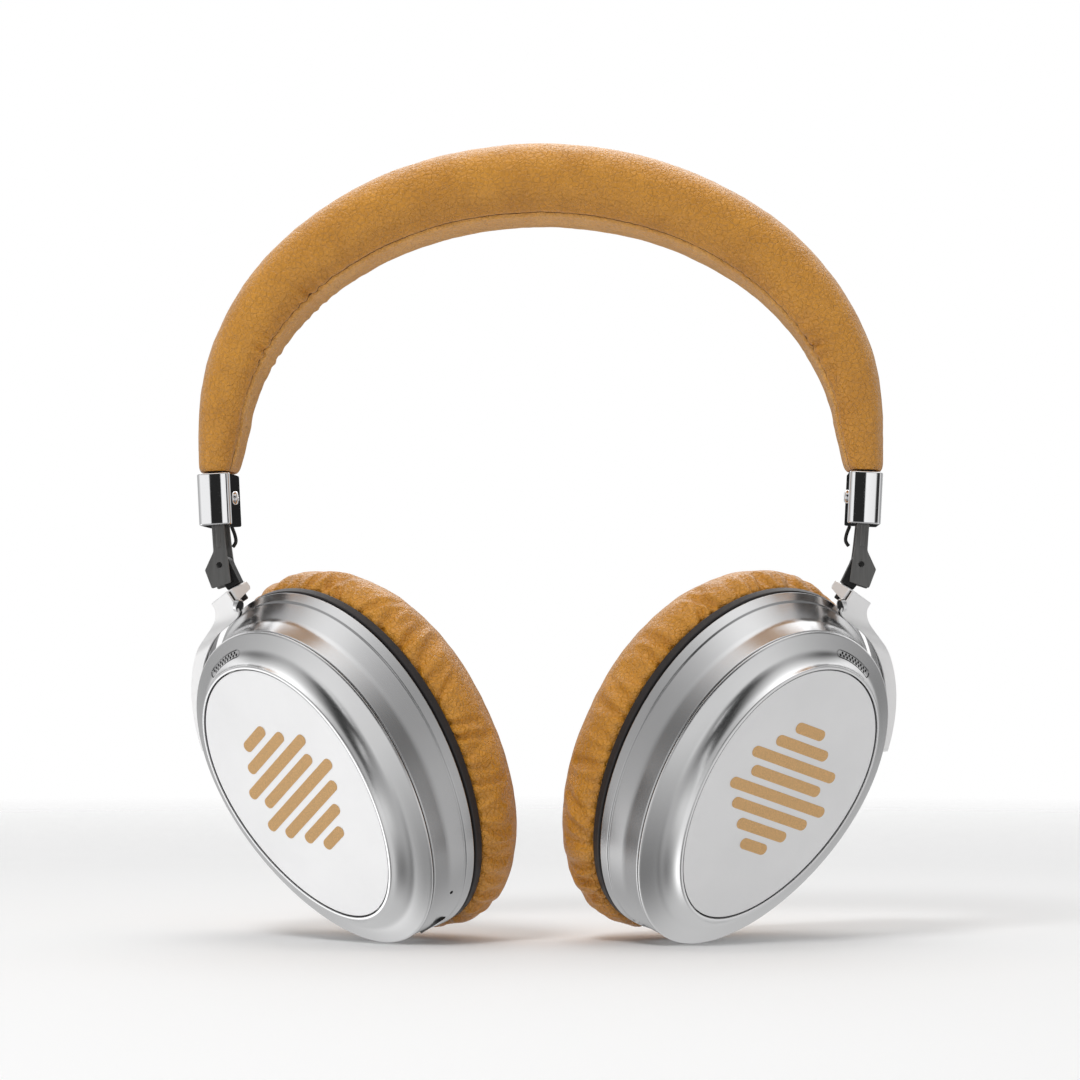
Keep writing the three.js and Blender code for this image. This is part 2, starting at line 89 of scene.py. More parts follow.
SHELL = [  # the dome: radius, height, drop, rounding
    (20, 15.5, 1, 0), (38.4, 14.6, 1.8, 0.2), (41.6, 13.7, 2, 0.2), (43.0, 13.8, 2, 0.1),
    (43.15, 14.1, 2, 0.1), (42.9, 14.45, 2, 0.25), (40.1, 15.6, 1.9, 1.6), (37.9, 16.4, 1.6, 1.6),
    (36.0, 18.5, 1.2, 1.8), (35.35, 20.2, 0.8, 0.3), (34.6, 20.25, 0.8, 0.15),
    (34.4, 18.1, 0.8, 0.1), (20, 18.2, 0.8, 0),
]
BASE = [  # the cup wall, in the same terms
    (46.0, 0, 0.3, 0.2), (46.75, 0.7, 0.3, 0.15), (45.9, 3.0, 0.8, 0.12), (45.55, 3.25, 0.9, 0.1),
    (45.4, 3.7, 1.0, 0.1), (43.75, 8.3, 1.9, 0.9), (43.1, 13.2, 2, 0.15), (42.9, 13.45, 2, 0.1),
    (41.4, 13.45, 2, 0.2), (40.2, 9.4, 1, 0.2), (40.2, 0, 0.3, 0.2),
]
GASKET = [(40.4, -2.6, 0.3, 0.2), (40.4, -0.3, 0.3, 0.2), (46.7, -0.3, 0.3, 0.4), (46.9, -2.6, 0.3, 0.5)]
CUSHION = [  # radius, height
    (45.6, -3), (47.9, -5.2), (48.6, -9.6), (47.6, -14.2), (44.8, -18.3), (40.8, -20.8), (37.4, -21.2),
    (34.4, -20), (32.1, -16.8), (31, -11), (32, -6), (35, -3),
]
CUSHION_DROP = 1.2
VENT = {"inner": 37.95, "outer": 39.55, "from": 79.5, "to": 104.0, "depth": 1.2, "pocket_gap": 0.24}
PORT_HEIGHT = 6.0
JACK_HEIGHT = 5.6
BUTTON = {"inner": 41.2, "outer": 45.7, "low": 4.4, "high": 7.4, "drop": 1.5}
BUTTONS = {
    "left": [("power_button", 205, 211)],
    "right": [("volume_up_button", 194, 200), ("play_button", 203, 209), ("volume_down_button", 212, 218)],
}

SLEEVE = {"low": 9.9, "high": 22.8, "thickness": 8.2, "depth": 20.0, "edge": 0.35, "bow": 0.4}
SLEEVE_BORE = {"half_x": 2.0, "half_y": 7.3, "least_x": -1.9, "greatest_x": 2.5}
SCREW_HEIGHT = 16.8
SCREW_SEAT = [(0, 0), (1.85, 0), (1.85, 6), (0, 6)]
SCREW_SEAT_FLOOR = 3.9
CHEEK = [  # the slider's forked plate at the fold pin
    (-1.5, 10.6, 0), (-1.35, 3.4, 0.5), (-3.7, -1.15, 0.25), (-2.2, -5.8, 0.4), (2.7, -4.5, 0.4),
    (1.9, 3.8, 1.5), (1.5, 10.6, 0),
]
CHEEK_THICKNESS = 1.2
SLIDER_BAR = {"thickness": 1.2, "width": 12, "low": 4.3, "high": 37.5}
PIN = {"radius": 0.62, "half": 6.2, "slider_bore": 0.72, "knuckle_bore": 1.05}
CABLE = {"radius": 0.45, "path": [(3.2, -2.6, 9.4), (3.9, -2.8, 7.2), (4.0, -2.8, 5.6), (3.2, -2.7, 4.4)]}
KNUCKLE = {"radius": 2.6, "half_width": 4.3, "foot": -6.2, "foot_half": 1.8}
POST = {"radius": 1.1, "end": -10.4, "bore": 1.4}
BORE_REACH = 8.0  # longer than any piece that a pin's bore cuts
GROMMET = {"centre": (3.1, 46.9, 5.5), "stretch": (1.7, 1.5), "turn": -38}
TILT_ROOM = 1.1  # how much further out the yoke's hidden frame starts, so that the cup can tilt

FACE_PLATE = [
    (12.8, 18.5, 0.8, 0), (34.25, 18.5, 0.8, 0.1), (34.25, 19.95, 0.8, 0.12), (12.8, 19.95, 0.8, 0),
]
MARK = {"width": 2.9, "pitch": 4.5, "lean": 9, "low": 19.97, "high": 20.03}
MARK_LENGTHS = [9, 17, 26, 33, 24, 29, 18, 10]
PORT = {"width": 8.9, "height": 3.1, "wall": 0.4, "mouth": -46.1, "floor": -39.0, "slot": (9.6, 3.8, 1.8)}
TONGUE = {"width": 6.4, "height": 0.7, "mouth": -45.3, "floor": -38.6}
JACK = {"bore": 3.3, "mouth": -45.4}
JACK_PROFILE = [(1.75, 0), (1.75, 5.8), (2.9, 5.8), (2.9, 0.2), (2.7, 0), (1.95, 0)]
MICROPHONE = {
    "radius": 0.5, "place": (44.3, 6.9, 1.8, 296), "across": (0.9, 0.43, 0), "inwards": (0.43, -0.9, 0),
}
SCREEN = [  # the speaker cloth
    (10.9, -2.3, 0, 0), (39.6, -2.3, 0, 0.1), (39.6, -2.6, 0, 0.1), (36, -2.75, 0, 1.5), (28, -3.3, 0, 4),
    (10.9, -3.7, 0, 0),
]

CROSSWAYS = ((1, 0, 0), (0, 0, 1), (0, 1, 0))  # lays a shape's z along the place's y


# ---------- frames ----------

def found(group, name):
    return next(entry for entry in group if entry["name"] == name)


def matrix(x, y, z, origin):
    m = np.eye(4)
    m[:3, 0], m[:3, 1], m[:3, 2], m[:3, 3] = x, y, z, origin
    return m


def unit(v):
    v = np.asarray(v, float)
    return v / np.linalg.norm(v)


def frames_of(side):
    """The cup, slider and folded frames of one side, in millimetres."""
    hand = 1 if side == "left" else -1
    mount = found(RECORD["mounts"], f"{side}_cup_face")
    pin = np.array(found(frame["joints"], f"{side}_fold")["pos_m"]) / MM
    face, outwards = np.array(mount["pos_m"]) / MM, unit(mount["axis"])
    towards_pin = pin - face
    up = unit(towards_pin - towards_pin @ outwards * outwards)
    front = hand * np.cross(up, outwards)
    centre = face - PLATE_FACE[1] * up - PLATE_FACE[2] * outwards
    back = np.array([0.0, 1.0, 0.0])
    rise = -unit(found(frame["joints"], f"{side}_slider_travel")["axis"])
    return {
        "cup": matrix(front, up, outwards, centre),
        "slider": matrix(hand * np.cross(back, rise), back, rise, pin),
        "folded": matrix(hand * np.cross(back, up), back, up, pin),
    }


FRAMES = {side: frames_of(side) for side in SIDES}


# ---------- mesh helpers ----------

def loft(sections, closed=False):
    """Points and faces of a skin through closed sections, capped at its ends unless it closes."""
    sections = np.asarray(sections, float)
    rows, columns, _ = sections.shape
    faces = []
    for i in range(rows if closed else rows - 1):
        a, b = i * columns, (i + 1) % rows * columns
        for j in range(columns):
            k = (j + 1) % columns
            faces.append((a + j, a + k, b + k, b + j))
    if not closed:
        faces.append(tuple(range(columns)))
        faces.append(tuple(range((rows - 1) * columns, rows * columns)))
    return sections.reshape(-1, 3), faces


def together(*shapes):
    """Several closed shapes as one."""
    points, faces, count = [], [], 0
    for part_points, part_faces in shapes:
        points.append(part_points)
        faces += [tuple(v + count for v in face) for face in part_faces]
        count += len(part_points)
    return np.concatenate(points), faces


def make(name, shape, place, material, sharp=35):
    """A smooth-shaded object from a shape in millimetres, set down by a local frame."""
    points, faces = shape
    points = points @ place[:3, :3].T + place[:3, 3]
    mesh = bpy.data.meshes.new(name)
    mesh.from_pydata((points * MM).tolist(), [], faces)
    work = bmesh.new()
    work.from_mesh(mesh)
    bmesh.ops.recalc_face_normals(work, faces=work.faces)
    work.to_mesh(mesh)
    work.free()
    mesh.shade_smooth()
    mesh.set_sharp_from_angle(angle=math.radians(sharp))
    mesh.materials.append(material)
    piece = bpy.data.objects.new(name, mesh)
    bpy.context.scene.collection.objects.link(piece)
    return piece


def settle(piece, body, slot, *nodes):
    """Puts a finished piece on its body, keeps flat faces flat unless it is leather, and hides the frame's nodes
    that it replaces.
    """
    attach(piece, body)
    if slot != "leather":
        piece.modifiers.new("flat_faces_stay_flat", "WEIGHTED_NORMAL").keep_sharp = True
    if nodes:
        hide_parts(*nodes)
    return piece


def add(name, shape, place, look, body, slot, *nodes, sharp=35):
    """Makes a piece that needs no cutting and settles it."""
    return settle(make(name, shape, place, LOOKS[look], sharp), body, slot, *nodes)


def apply_modifiers(piece):
    graph = bpy.context.evaluated_depsgraph_get()
    mesh = bpy.data.meshes.new_from_object(piece.evaluated_get(graph), depsgraph=graph)
    piece.modifiers.clear()
    old = piece.data
    piece.data = mesh
    bpy.data.meshes.remove(old)


def carve(piece, shapes, place, operation="DIFFERENCE", sharp=35):
    """Cuts closed shapes out of a piece, or joins them to it."""
    for shape in shapes:
        tool = make("tool", shape, place, piece.data.materials[0])
        modifier = piece.modifiers.new("carve", "BOOLEAN")
        modifier.operation, modifier.solver, modifier.object = operation, "EXACT", tool
        apply_modifiers(piece)
        bpy.data.objects.remove(tool)
    piece.data.shade_smooth()
    piece.data.set_sharp_from_angle(angle=math.radians(sharp))
    return piece


def lengths_along(points):
    """The length walked to each point of a path."""
    return np.concatenate([[0], np.cumsum(np.linalg.norm(np.diff(points, axis=0), axis=1))])


def points_at(wanted, along, points):
    """The points of a path at the wanted lengths."""
    return np.stack([np.interp(wanted, along, points[:, k]) for k in range(points.shape[1])], axis=-1)


def rounded(corners, steps=7, closed=False):
    """A polyline whose corners (..., rounding) become quadratic curves."""
    corners = np.asarray(corners, float)
    points, roundings = corners[:, :-1], corners[:, -1]
    count = len(points)
    path = []
    for i in range(count):
        here, radius = points[i], roundings[i]
        if (not closed and i in (0, count - 1)) or radius == 0:
            path.append(here)
            continue
        before, after = points[i - 1], points[(i + 1) % count]
        start = here + unit(before - here) * min(radius, np.linalg.norm(before - here) / 2)
        end = here + unit(after - here) * min(radius, np.linalg.norm(after - here) / 2)
        for t in np.linspace(0, 1, steps):
            path.append((1 - t) ** 2 * start + 2 * t * (1 - t) * here + t**2 * end)
    path = np.array(path)
    keep = np.ones(len(path), bool)
    keep[1:] = np.linalg.norm(np.diff(path, axis=0), axis=1) > 1e-6
    return path[keep]


def refined(path, step, closed=False):
    """Adds points so that no stretch of the path is much longer than the step."""
    ends = np.roll(path, -1, axis=0) if closed else path[1:]
    result = []
    for a, b in zip(path, ends):
        pieces = max(1, int(np.ceil(np.linalg.norm(b - a) / step)))
        result += [a + (b - a) * i / pieces for i in range(pieces)]
    if not closed:
        result.append(path[-1])
    return np.array(result)


def spline(points, count, closed=True):
    """An even run of points along a Catmull-Rom curve."""
    points = np.asarray(points, float)
    dense = []
    total = len(points)
    for i in range(total if closed else total - 1):
        p0, p1 = points[i - 1 if closed else max(i - 1, 0)], points[i]
        p2 = points[(i + 1) % total]
        p3 = points[(i + 2) % total] if closed else points[min(i + 2, total - 1)]
        for t in np.linspace(0, 1, 24, endpoint=False):
            dense.append(0.5 * (2 * p1 + (p2 - p0) * t + (2 * p0 - 5 * p1 + 4 * p2 - p3) * t**2
                                + (3 * p1 - p0 - 3 * p2 + p3) * t**3))
    dense.append(points[0] if closed else points[-1])
    dense = np.array(dense)
    along = lengths_along(dense)
    return points_at(np.linspace(0, along[-1], count, endpoint=not closed), along, dense)


def rings(profile, sides=40, stretch=(1, 1)):
    """Round or elliptical sections about local z from [radius, height] points."""
    angles = np.linspace(0, 2 * math.pi, sides, endpoint=False)
    wide, deep = stretch
    return [
        np.stack([wide * r * np.cos(angles), deep * r * np.sin(angles), np.full(sides, h)], axis=1)
        for r, h in profile
    ]


def lathe(profile, sides=40):
    """A turned shape about local z from [radius, height] points that start and end on the axis."""
    return loft(rings(profile, sides))


def rod(radius, reach=BORE_REACH, sides=40):
    """A round rod to both sides of the origin, along local z."""
    return lathe([(0, -reach), (radius, -reach), (radius, reach), (0, reach)], sides)


def turned(shape, x, y, z, origin=(0, 0, 0)):
    """A shape with its axes along x, y and z and its origin moved."""
    points, faces = shape
    return points @ np.array([x, y, z], float) + np.array(origin, float), faces


def tube(path, radius, sides=14):
    """A round cable along a path."""
    path = np.asarray(path, float)
    tangents = np.gradient(path, axis=0)
    sections = []
    side = np.array([0.0, 1.0, 0.0])
    for point, tangent in zip(path, tangents):
        t = unit(tangent)
        a = unit(side - side @ t * t)
        b = np.cross(t, a)
        angles = np.linspace(0, 2 * math.pi, sides, endpoint=False)[:, None]
        sections.append(point + radius * (np.cos(angles) * a + np.sin(angles) * b))
    return loft(sections)


def inset(outline, margin):
    """A closed plan outline moved inwards by a margin; the outline runs anticlockwise."""
    ahead, behind = np.roll(outline, -1, axis=0), np.roll(outline, 1, axis=0)
    first, second = outline - behind, ahead - outline
    first /= np.linalg.norm(first, axis=1)[:, None]
    second /= np.linalg.norm(second, axis=1)[:, None]
    normals = np.stack([-(first + second)[:, 1], (first + second)[:, 0]], axis=1)
    normals /= np.maximum(np.linalg.norm(normals, axis=1)[:, None], 1e-9)
    cosine = np.clip(np.sum(normals * np.stack([-first[:, 1], first[:, 0]], axis=1), axis=1), 0.3, 1)
    return outline + normals * (margin / cosine)[:, None]


def level(plan, z):
    """A plan outline set at a height."""
    return np.column_stack([plan, np.full(len(plan), z)])


def shrink_near(depth, corner):
    """How far a rounded end is set in at a depth below its tip."""
    return corner - math.sqrt(max(corner**2 - (corner - depth) ** 2, 0))


def rim_levels(low, high, edge, steps):
    """Margins and heights of the sections of a plate whose two rims are rounded."""
    quarter = np.linspace(0, math.pi / 2, steps)
    levels = [(edge * (1 - math.sin(a)), low + edge * (1 - math.cos(a))) for a in quarter]
    return levels + [(edge * (1 - math.sin(a)), high - edge * (1 - math.cos(a))) for a in quarter[::-1]]


def slab(outline, low, high, edge=0.15, steps=4):
    """A flat plate from an anticlockwise plan outline, with rounded rims."""
    return loft([level(inset(outline, margin), z) for margin, z in rim_levels(low, high, edge, steps)])


def oblong(width, height, corner, steps=8, bulge=0.0):
    """An anticlockwise rounded rectangle; its long sides may bow out."""
    points = []
    for quarter, (sx, sy) in enumerate([(1, 1), (-1, 1), (-1, -1), (1, -1)]):
        for angle in np.linspace(quarter, quarter + 1, steps) * math.pi / 2:
            x = sx * (width / 2 - corner) + corner * math.cos(angle)
            y = sy * (height / 2 - corner) + corner * math.sin(angle)
            points.append((x, y))
    points = refined(np.array(points), 0.4, closed=True)
    if bulge:
        points[:, 1] += np.sign(points[:, 1]) * bulge * (1 - (2 * points[:, 0] / width) ** 2)
    return points


# ---------- ovals ----------

def oval(radius, z, drop, degrees):
    angle = np.radians(degrees)
    width = (radius - OVAL_DIFFERENCE) * (1 + EGG * np.sin(angle))
    x, y = width * np.cos(angle), radius * np.sin(angle) - drop
    return np.stack(np.broadcast_arrays(x, y, z), axis=-1).astype(float)


def oval_loft(profile, segments=216, closed=False):
    """A lid, or a ring if closed, from a profile of (radius, z, drop)."""
    degrees = np.linspace(0, 360, segments, endpoint=False)
    return loft([oval(r, z, drop, degrees) for r, z, drop in profile], closed)


def oval_bar(inner, outer, low, high, drop, start, end, corner=0.3):
    """A short bar that follows an oval, with rounded edges."""
    corners = [(outer, low, corner), (outer, high, corner), (inner, high, corner), (inner, low, corner)]
    loop = rounded(corners, 5, closed=True)
    middle = loop.mean(axis=0)
    sections = []
    span = (end - start) * math.radians(1) * outer
    for along in np.concatenate([np.linspace(0, corner, 4), [span / 2], span - np.linspace(corner, 0, 4)]):
        shrink = shrink_near(min(along, span - along, corner), corner)
        offsets = loop - middle
        half = np.abs(offsets).max(axis=0)
        section = middle + offsets * (half - shrink) / half
        degrees = start + (end - start) * along / span
        sections.append([oval(r, z, drop, degrees) for r, z in section])
    return loft(np.array(sections))


def grid_normals(grid):
    """Outward unit normals of a closed tube of sections, shape (rows, columns, 3)."""
    across = np.roll(grid, -1, axis=1) - np.roll(grid, 1, axis=1)
    along = np.gradient(grid, axis=0)
    normals = np.cross(across, along)
    normals /= np.maximum(np.linalg.norm(normals, axis=2)[..., None], 1e-9)
    outwards = grid - grid.mean(axis=1, keepdims=True)
    if np.sum(normals * outwards) < 0:
        normals = -normals
    return normals


def rough_field(grid, size, seed):
    """Smooth noise of about -1 to 1 over a grid of points; size is its feature size."""
    shift = Vector((seed * 13.7, seed * 5.1, seed * 9.3))
    flat = [noise.noise(Vector(point) / size + shift) for point in grid.reshape(-1, 3)]
    return np.array(flat).reshape(grid.shape[:-1])


# ---------- materials ----------

class Nodes:
    """Short calls that add linked nodes to a tree."""

    def __init__(self, tree):
        self.nodes, self.links = tree.nodes, tree.links

    def feed(self, socket, value):
        """Links a socket to another one, or sets its value."""
        if isinstance(value, bpy.types.NodeSocket):
            self.links.new(value, socket)
        else:
            socket.default_value = value

    def math(self, operation, *values):
        node = self.nodes.new("ShaderNodeMath")
        node.operation = operation
        for socket, value in zip(node.inputs, values):
            self.feed(socket, value)
        return node.outputs["Value"]

    def ramp(self, value, stops):
        node = self.nodes.new("ShaderNodeValToRGB")
        self.links.new(value, node.inputs["Fac"])
        elements = node.color_ramp.elements
        while len(elements) < len(stops):
            elements.new(0.5)
        for element, (position, colour) in zip(elements, stops):
            element.position = position
            element.color = (*colour, 1) if isinstance(colour, tuple) else (colour, colour, colour, 1)
        return node.outputs["Color"]

    def mixed(self, factor, a, b, mode="MIX"):
        node = self.nodes.new("ShaderNodeMix")
        node.data_type, node.blend_type = "RGBA", mode
        self.feed(node.inputs["Factor"], factor)
        colours = [socket for socket in node.inputs if socket.type == "RGBA"]
        for socket, value in zip(colours, (a, b)):
            self.feed(socket, value)
        return next(socket for socket in node.outputs if socket.type == "RGBA")


class Look(Nodes):
    """A Principled material; its textures run in the frame's own metres."""

    def __init__(self, name, colour, roughness, metallic=0.0):
        self.material = bpy.data.materials.new(name)
        self.material.use_nodes = True
        super().__init__(self.material.node_tree)
        self.shader = self.nodes["Principled BSDF"]
        self.place = self.nodes.new("ShaderNodeTexCoord").outputs["Object"]
        self.set("Base Color", (*colour, 1))
        self.set("Roughness", roughness)
        self.set("Metallic", metallic)

    def set(self, socket, value):
        self.feed(self.shader.inputs[socket], value)

    def scaled(self, factors):
        node = self.nodes.new("ShaderNodeMapping")
        node.inputs["Scale"].default_value = factors
        self.links.new(self.place, node.inputs["Vector"])
        return node.outputs["Vector"]

    def noise(self, size_mm, detail=2.0, stretch=None):
        node = self.nodes.new("ShaderNodeTexNoise")
        node.inputs["Scale"].default_value = 1 / (size_mm * MM)
        node.inputs["Detail"].default_value = detail
        self.links.new(self.scaled(stretch) if stretch else self.place, node.inputs["Vector"])
        return node.outputs["Fac"]

    def cells(self, size_mm, feature="F1"):
        node = self.nodes.new("ShaderNodeTexVoronoi")
        node.feature = feature
        node.inputs["Scale"].default_value = 1 / (size_mm * MM)
        node.inputs["Randomness"].default_value = 1.0
        wobble = self.nodes.new("ShaderNodeTexNoise")
        wobble.inputs["Scale"].default_value = 0.6 / (size_mm * MM)
        self.links.new(self.place, wobble.inputs["Vector"])
        shift = self.nodes.new("ShaderNodeVectorMath")
        shift.operation = "MULTIPLY_ADD"
        shift.inputs[1].default_value = (size_mm * MM,) * 3
        self.links.new(wobble.outputs["Color"], shift.inputs[0])
        self.links.new(self.place, shift.inputs[2])
        self.links.new(shift.outputs["Vector"], node.inputs["Vector"])
        return node.outputs["Distance"]

    def threads(self, size_mm, direction):
        node = self.nodes.new("ShaderNodeTexWave")
        node.bands_direction = direction
        node.inputs["Scale"].default_value = 1 / (size_mm * MM) / 3.1
        node.inputs["Distortion"].default_value = 0.4
        self.links.new(self.place, node.inputs["Vector"])
        return node.outputs["Fac"]

    def bump(self, height, depth_mm, strength=1.0, under=None):
        node = self.nodes.new("ShaderNodeBump")
        node.inputs["Strength"].default_value = strength
        node.inputs["Distance"].default_value = depth_mm * MM
        self.links.new(height, node.inputs["Height"])
        if under is not None:
            self.links.new(under, node.inputs["Normal"])
        self.set("Normal", node.outputs["Normal"])
        return node.outputs["Normal"]


def leather_look(name, light, dark):
    look = Look(name, light, 0.5)
    patches = look.ramp(look.noise(9, 4), [(0.3, dark), (0.7, light)])
    pebbles = look.cells(0.85)
    creases = look.cells(1.4, "DISTANCE_TO_EDGE")
    shade = look.ramp(pebbles, [(0.1, 1.0), (0.7, 0.72)])
    colour = look.mixed(0.5, patches, shade, "MULTIPLY")
    look.set("Base Color", colour)
    look.set("Roughness", look.ramp(look.noise(0.9, 3), [(0.3, 0.31), (0.75, 0.49)]))
    grain = look.math("ADD", look.math("MULTIPLY", pebbles, -0.8),
                      look.math("MULTIPLY", look.math("MINIMUM", creases, 0.12), 4.0))
    base = look.bump(look.noise(0.16, 3), 0.05, 0.35)
    look.bump(grain, 0.3, 0.9, base)
    look.set("Specular IOR Level", 0.8)
    look.set("Sheen Weight", 0.03)
    look.set("Sheen Roughness", 0.4)
    return look.material


def thread_look():
    look = Look("thread", (0.16, 0.06, 0.012), 0.7)
    dark, light = (0.11, 0.04, 0.008), (0.2, 0.08, 0.02)
    look.set("Base Color", look.ramp(look.noise(0.3), [(0.3, dark), (0.7, light)]))
    look.bump(look.noise(0.12), 0.05)
    return look.material


def satin_metal_look(name, colour, roughness, grain=0.002, metallic=1.0):
    look = Look(name, colour, roughness, metallic)
    cloud = look.ramp(look.noise(14, 3), [(0.3, tuple(0.96 * c for c in colour)), (0.7, colour)])
    look.set("Base Color", cloud)
    sheen = look.noise(0.25, 3)
    look.set("Roughness", look.ramp(sheen, [(0.3, roughness - 0.015), (0.7, roughness + 0.02)]))
    look.bump(look.noise(0.3, 2), grain, 0.3)
    return look.material


def brushed_look(name, colour, roughness, stretch):
    look = Look(name, colour, roughness, 0.7)
    streaks = look.noise(0.5, 3, stretch)
    look.set("Base Color", look.ramp(streaks, [(0.3, tuple(0.85 * c for c in colour)), (0.7, colour)]))
    look.set("Roughness", look.ramp(streaks, [(0.25, roughness - 0.06), (0.8, roughness + 0.08)]))
    look.bump(streaks, 0.01, 0.5)
    return look.material


def chrome_look():
    look = Look("chrome", (0.93, 0.93, 0.94), 0.04, 1.0)
    look.set("Roughness", look.ramp(look.noise(3, 4), [(0.4, 0.03), (0.8, 0.07)]))
    look.bump(look.noise(6, 2), 0.01, 0.1)
    return look.material


def plastic_look(name, colour, roughness, grain=0.3, depth=0.03):
    look = Look(name, colour, roughness)
    speckle = look.noise(grain, 3)
    look.set("Base Color", look.ramp(speckle, [(0.35, tuple(0.7 * c for c in colour)), (0.7, colour)]))
    look.set("Roughness", look.ramp(speckle, [(0.3, roughness), (0.7, roughness + 0.12)]))
    look.bump(speckle, depth, 0.6)
    return look.material


def plate_look():
    look = Look("plate_white", (0.86, 0.86, 0.865), 0.36, 0.55)
    cloud = look.noise(20, 3)
    look.set("Base Color", look.ramp(cloud, [(0.3, (0.84, 0.84, 0.845)), (0.7, (0.88, 0.88, 0.885))]))
    look.set("Roughness", look.ramp(look.noise(0.3, 2), [(0.3, 0.33), (0.7, 0.4)]))
    look.bump(look.noise(0.15, 2), 0.004, 0.5)
    return look.material


def weave_look(name, colour):
    look = Look(name, colour, 0.85)
    height = look.math("MAXIMUM", look.threads(0.5, "X"), look.threads(0.5, "Z"))
    look.set("Base Color", look.ramp(height, [(0.2, tuple(0.3 * c for c in colour)), (0.9, colour)]))
    look.bump(height, 0.12)
    look.set("Sheen Weight", 0.3)
    return look.material


def board_look():
    look = Look("circuit_board", (0.02, 0.14, 0.06), 0.4)
    edges = look.cells(2.2, "DISTANCE_TO_EDGE")
    look.set("Base Color", look.ramp(edges, [(0.03, (0.3, 0.2, 0.05)), (0.06, (0.015, 0.12, 0.05))]))
    look.bump(edges, 0.04, 0.4)
    return look.material


def foil_look():
    look = Look("battery_foil", (0.6, 0.6, 0.6), 0.35, 0.9)
    look.set("Base Color", look.ramp(look.noise(5, 3), [(0.3, (0.5, 0.5, 0.5)), (0.7, (0.65, 0.65, 0.66))]))
    look.bump(look.noise(2.5, 4), 0.2, 0.4)
    return look.material


LOOKS = {
    "leather": leather_look("leather", (0.73, 0.32, 0.028), (0.61, 0.255, 0.019)),
    "lining": leather_look("leather_lining", (0.86, 0.43, 0.08), (0.75, 0.35, 0.052)),
    "thread": thread_look(),
    "chrome": chrome_look(),
    "aluminium": satin_metal_look("aluminium", (0.86, 0.86, 0.865), 0.23),
    "bright": satin_metal_look("bright_aluminium", (0.95, 0.945, 0.945), 0.3, metallic=0.35),
    "plate_white": plate_look(),
    "dark_steel": brushed_look("dark_steel", (0.235, 0.233, 0.228), 0.42, (1, 1, 0.06)),
    "spring_steel": brushed_look("spring_steel", (0.6, 0.6, 0.6), 0.3, (0.06, 1, 1)),
    "black_plastic": plastic_look("black_plastic", (0.028, 0.025, 0.026), 0.42),
    "pin_black": plastic_look("pin_black", (0.012, 0.012, 0.012), 0.25, 0.6, 0.01),
    "cable_black": plastic_look("cable_black", (0.015, 0.015, 0.015), 0.4, 0.5, 0.02),
    "cloth": weave_look("speaker_cloth", (0.03, 0.03, 0.032)),
    "driver_metal": satin_metal_look("driver_metal", (0.3, 0.3, 0.31), 0.4),
    "board_green": board_look(),
    "battery_foil": foil_look(),
    "mark": plastic_look("mark_paint", (0.8, 0.48, 0.2), 0.45, 0.25, 0.01),
    "wall": satin_metal_look("wall_aluminium", (0.63, 0.63, 0.635), 0.24),
}


# ---------- headband ----------

def power(value, exponent=0.78):
    return np.sign(value) * np.abs(value) ** exponent


def band_stations(step):
    """Evenly spaced stations: arc length, outer point, normal, thickness and width of each."""
    leg = BAND["centre_z"] - BAND["end_z"]
    drops = np.linspace(leg, 0, 60, endpoint=False)
    turns = np.linspace(0, 180, 1800)
    soft = 0.002
    grow = ((np.sin(np.radians(turns)) ** 2 + soft) ** 0.35 - soft**0.35) / ((1 + soft) ** 0.35 - soft**0.35)
    rows = []
    for drop in drops:
        share = drop / leg
        size = [s + share * (e - s) for s, e in zip(BAND_SHOULDER, BAND_END)]
        rows.append((BAND["half_span"], BAND["centre_z"] - drop, 1, 0, *size))
    for turn, g in zip(np.radians(turns), grow):
        normal = unit([math.cos(turn) / BAND["half_span"], math.sin(turn) / BAND["rise"]])
        size = [s + g * (c - s) for s, c in zip(BAND_SHOULDER, BAND_CROWN)]
        x, z = BAND["half_span"] * math.cos(turn), BAND["centre_z"] + BAND["rise"] * math.sin(turn)
        rows.append((x, z, *normal, *size))
    for row in rows[len(drops) - 1::-1]:
        rows.append((-row[0], row[1], -1, 0, *row[4:]))
    rows = np.array(rows)
    length = lengths_along(rows[:, :2])
    wanted = np.linspace(0, length[-1], int(length[-1] / step))
    return wanted, points_at(wanted, length, rows)


def band_point(row, angle, shrink=0.0):
    """A point of the band's section at an angle round it, and the section's size there."""
    x, z, nx, nz, thickness, width = row
    across = (thickness / 2 - shrink) * power(math.cos(angle)) - thickness / 2
    y = (width / 2 - shrink) * power(math.sin(angle))
    return np.array([x + across * nx, y, z + across * nz])


def section_angles():
    """Round the section, close together at the two seams."""
    seam = SEAM_ANGLE
    fine = np.array([-5, -3.6, -2.6, -1.8, -1.2, -0.7, -0.3, 0, 0.3, 0.7, 1.2, 1.8, 2.6, 3.6, 5])
    coarse = np.arange(-180, 180, 3.2)
    coarse = coarse[(np.abs(coarse - seam) > 6) & (np.abs(coarse + seam) > 6)]
    return np.sort(np.concatenate([coarse, seam + fine, -seam + fine]))


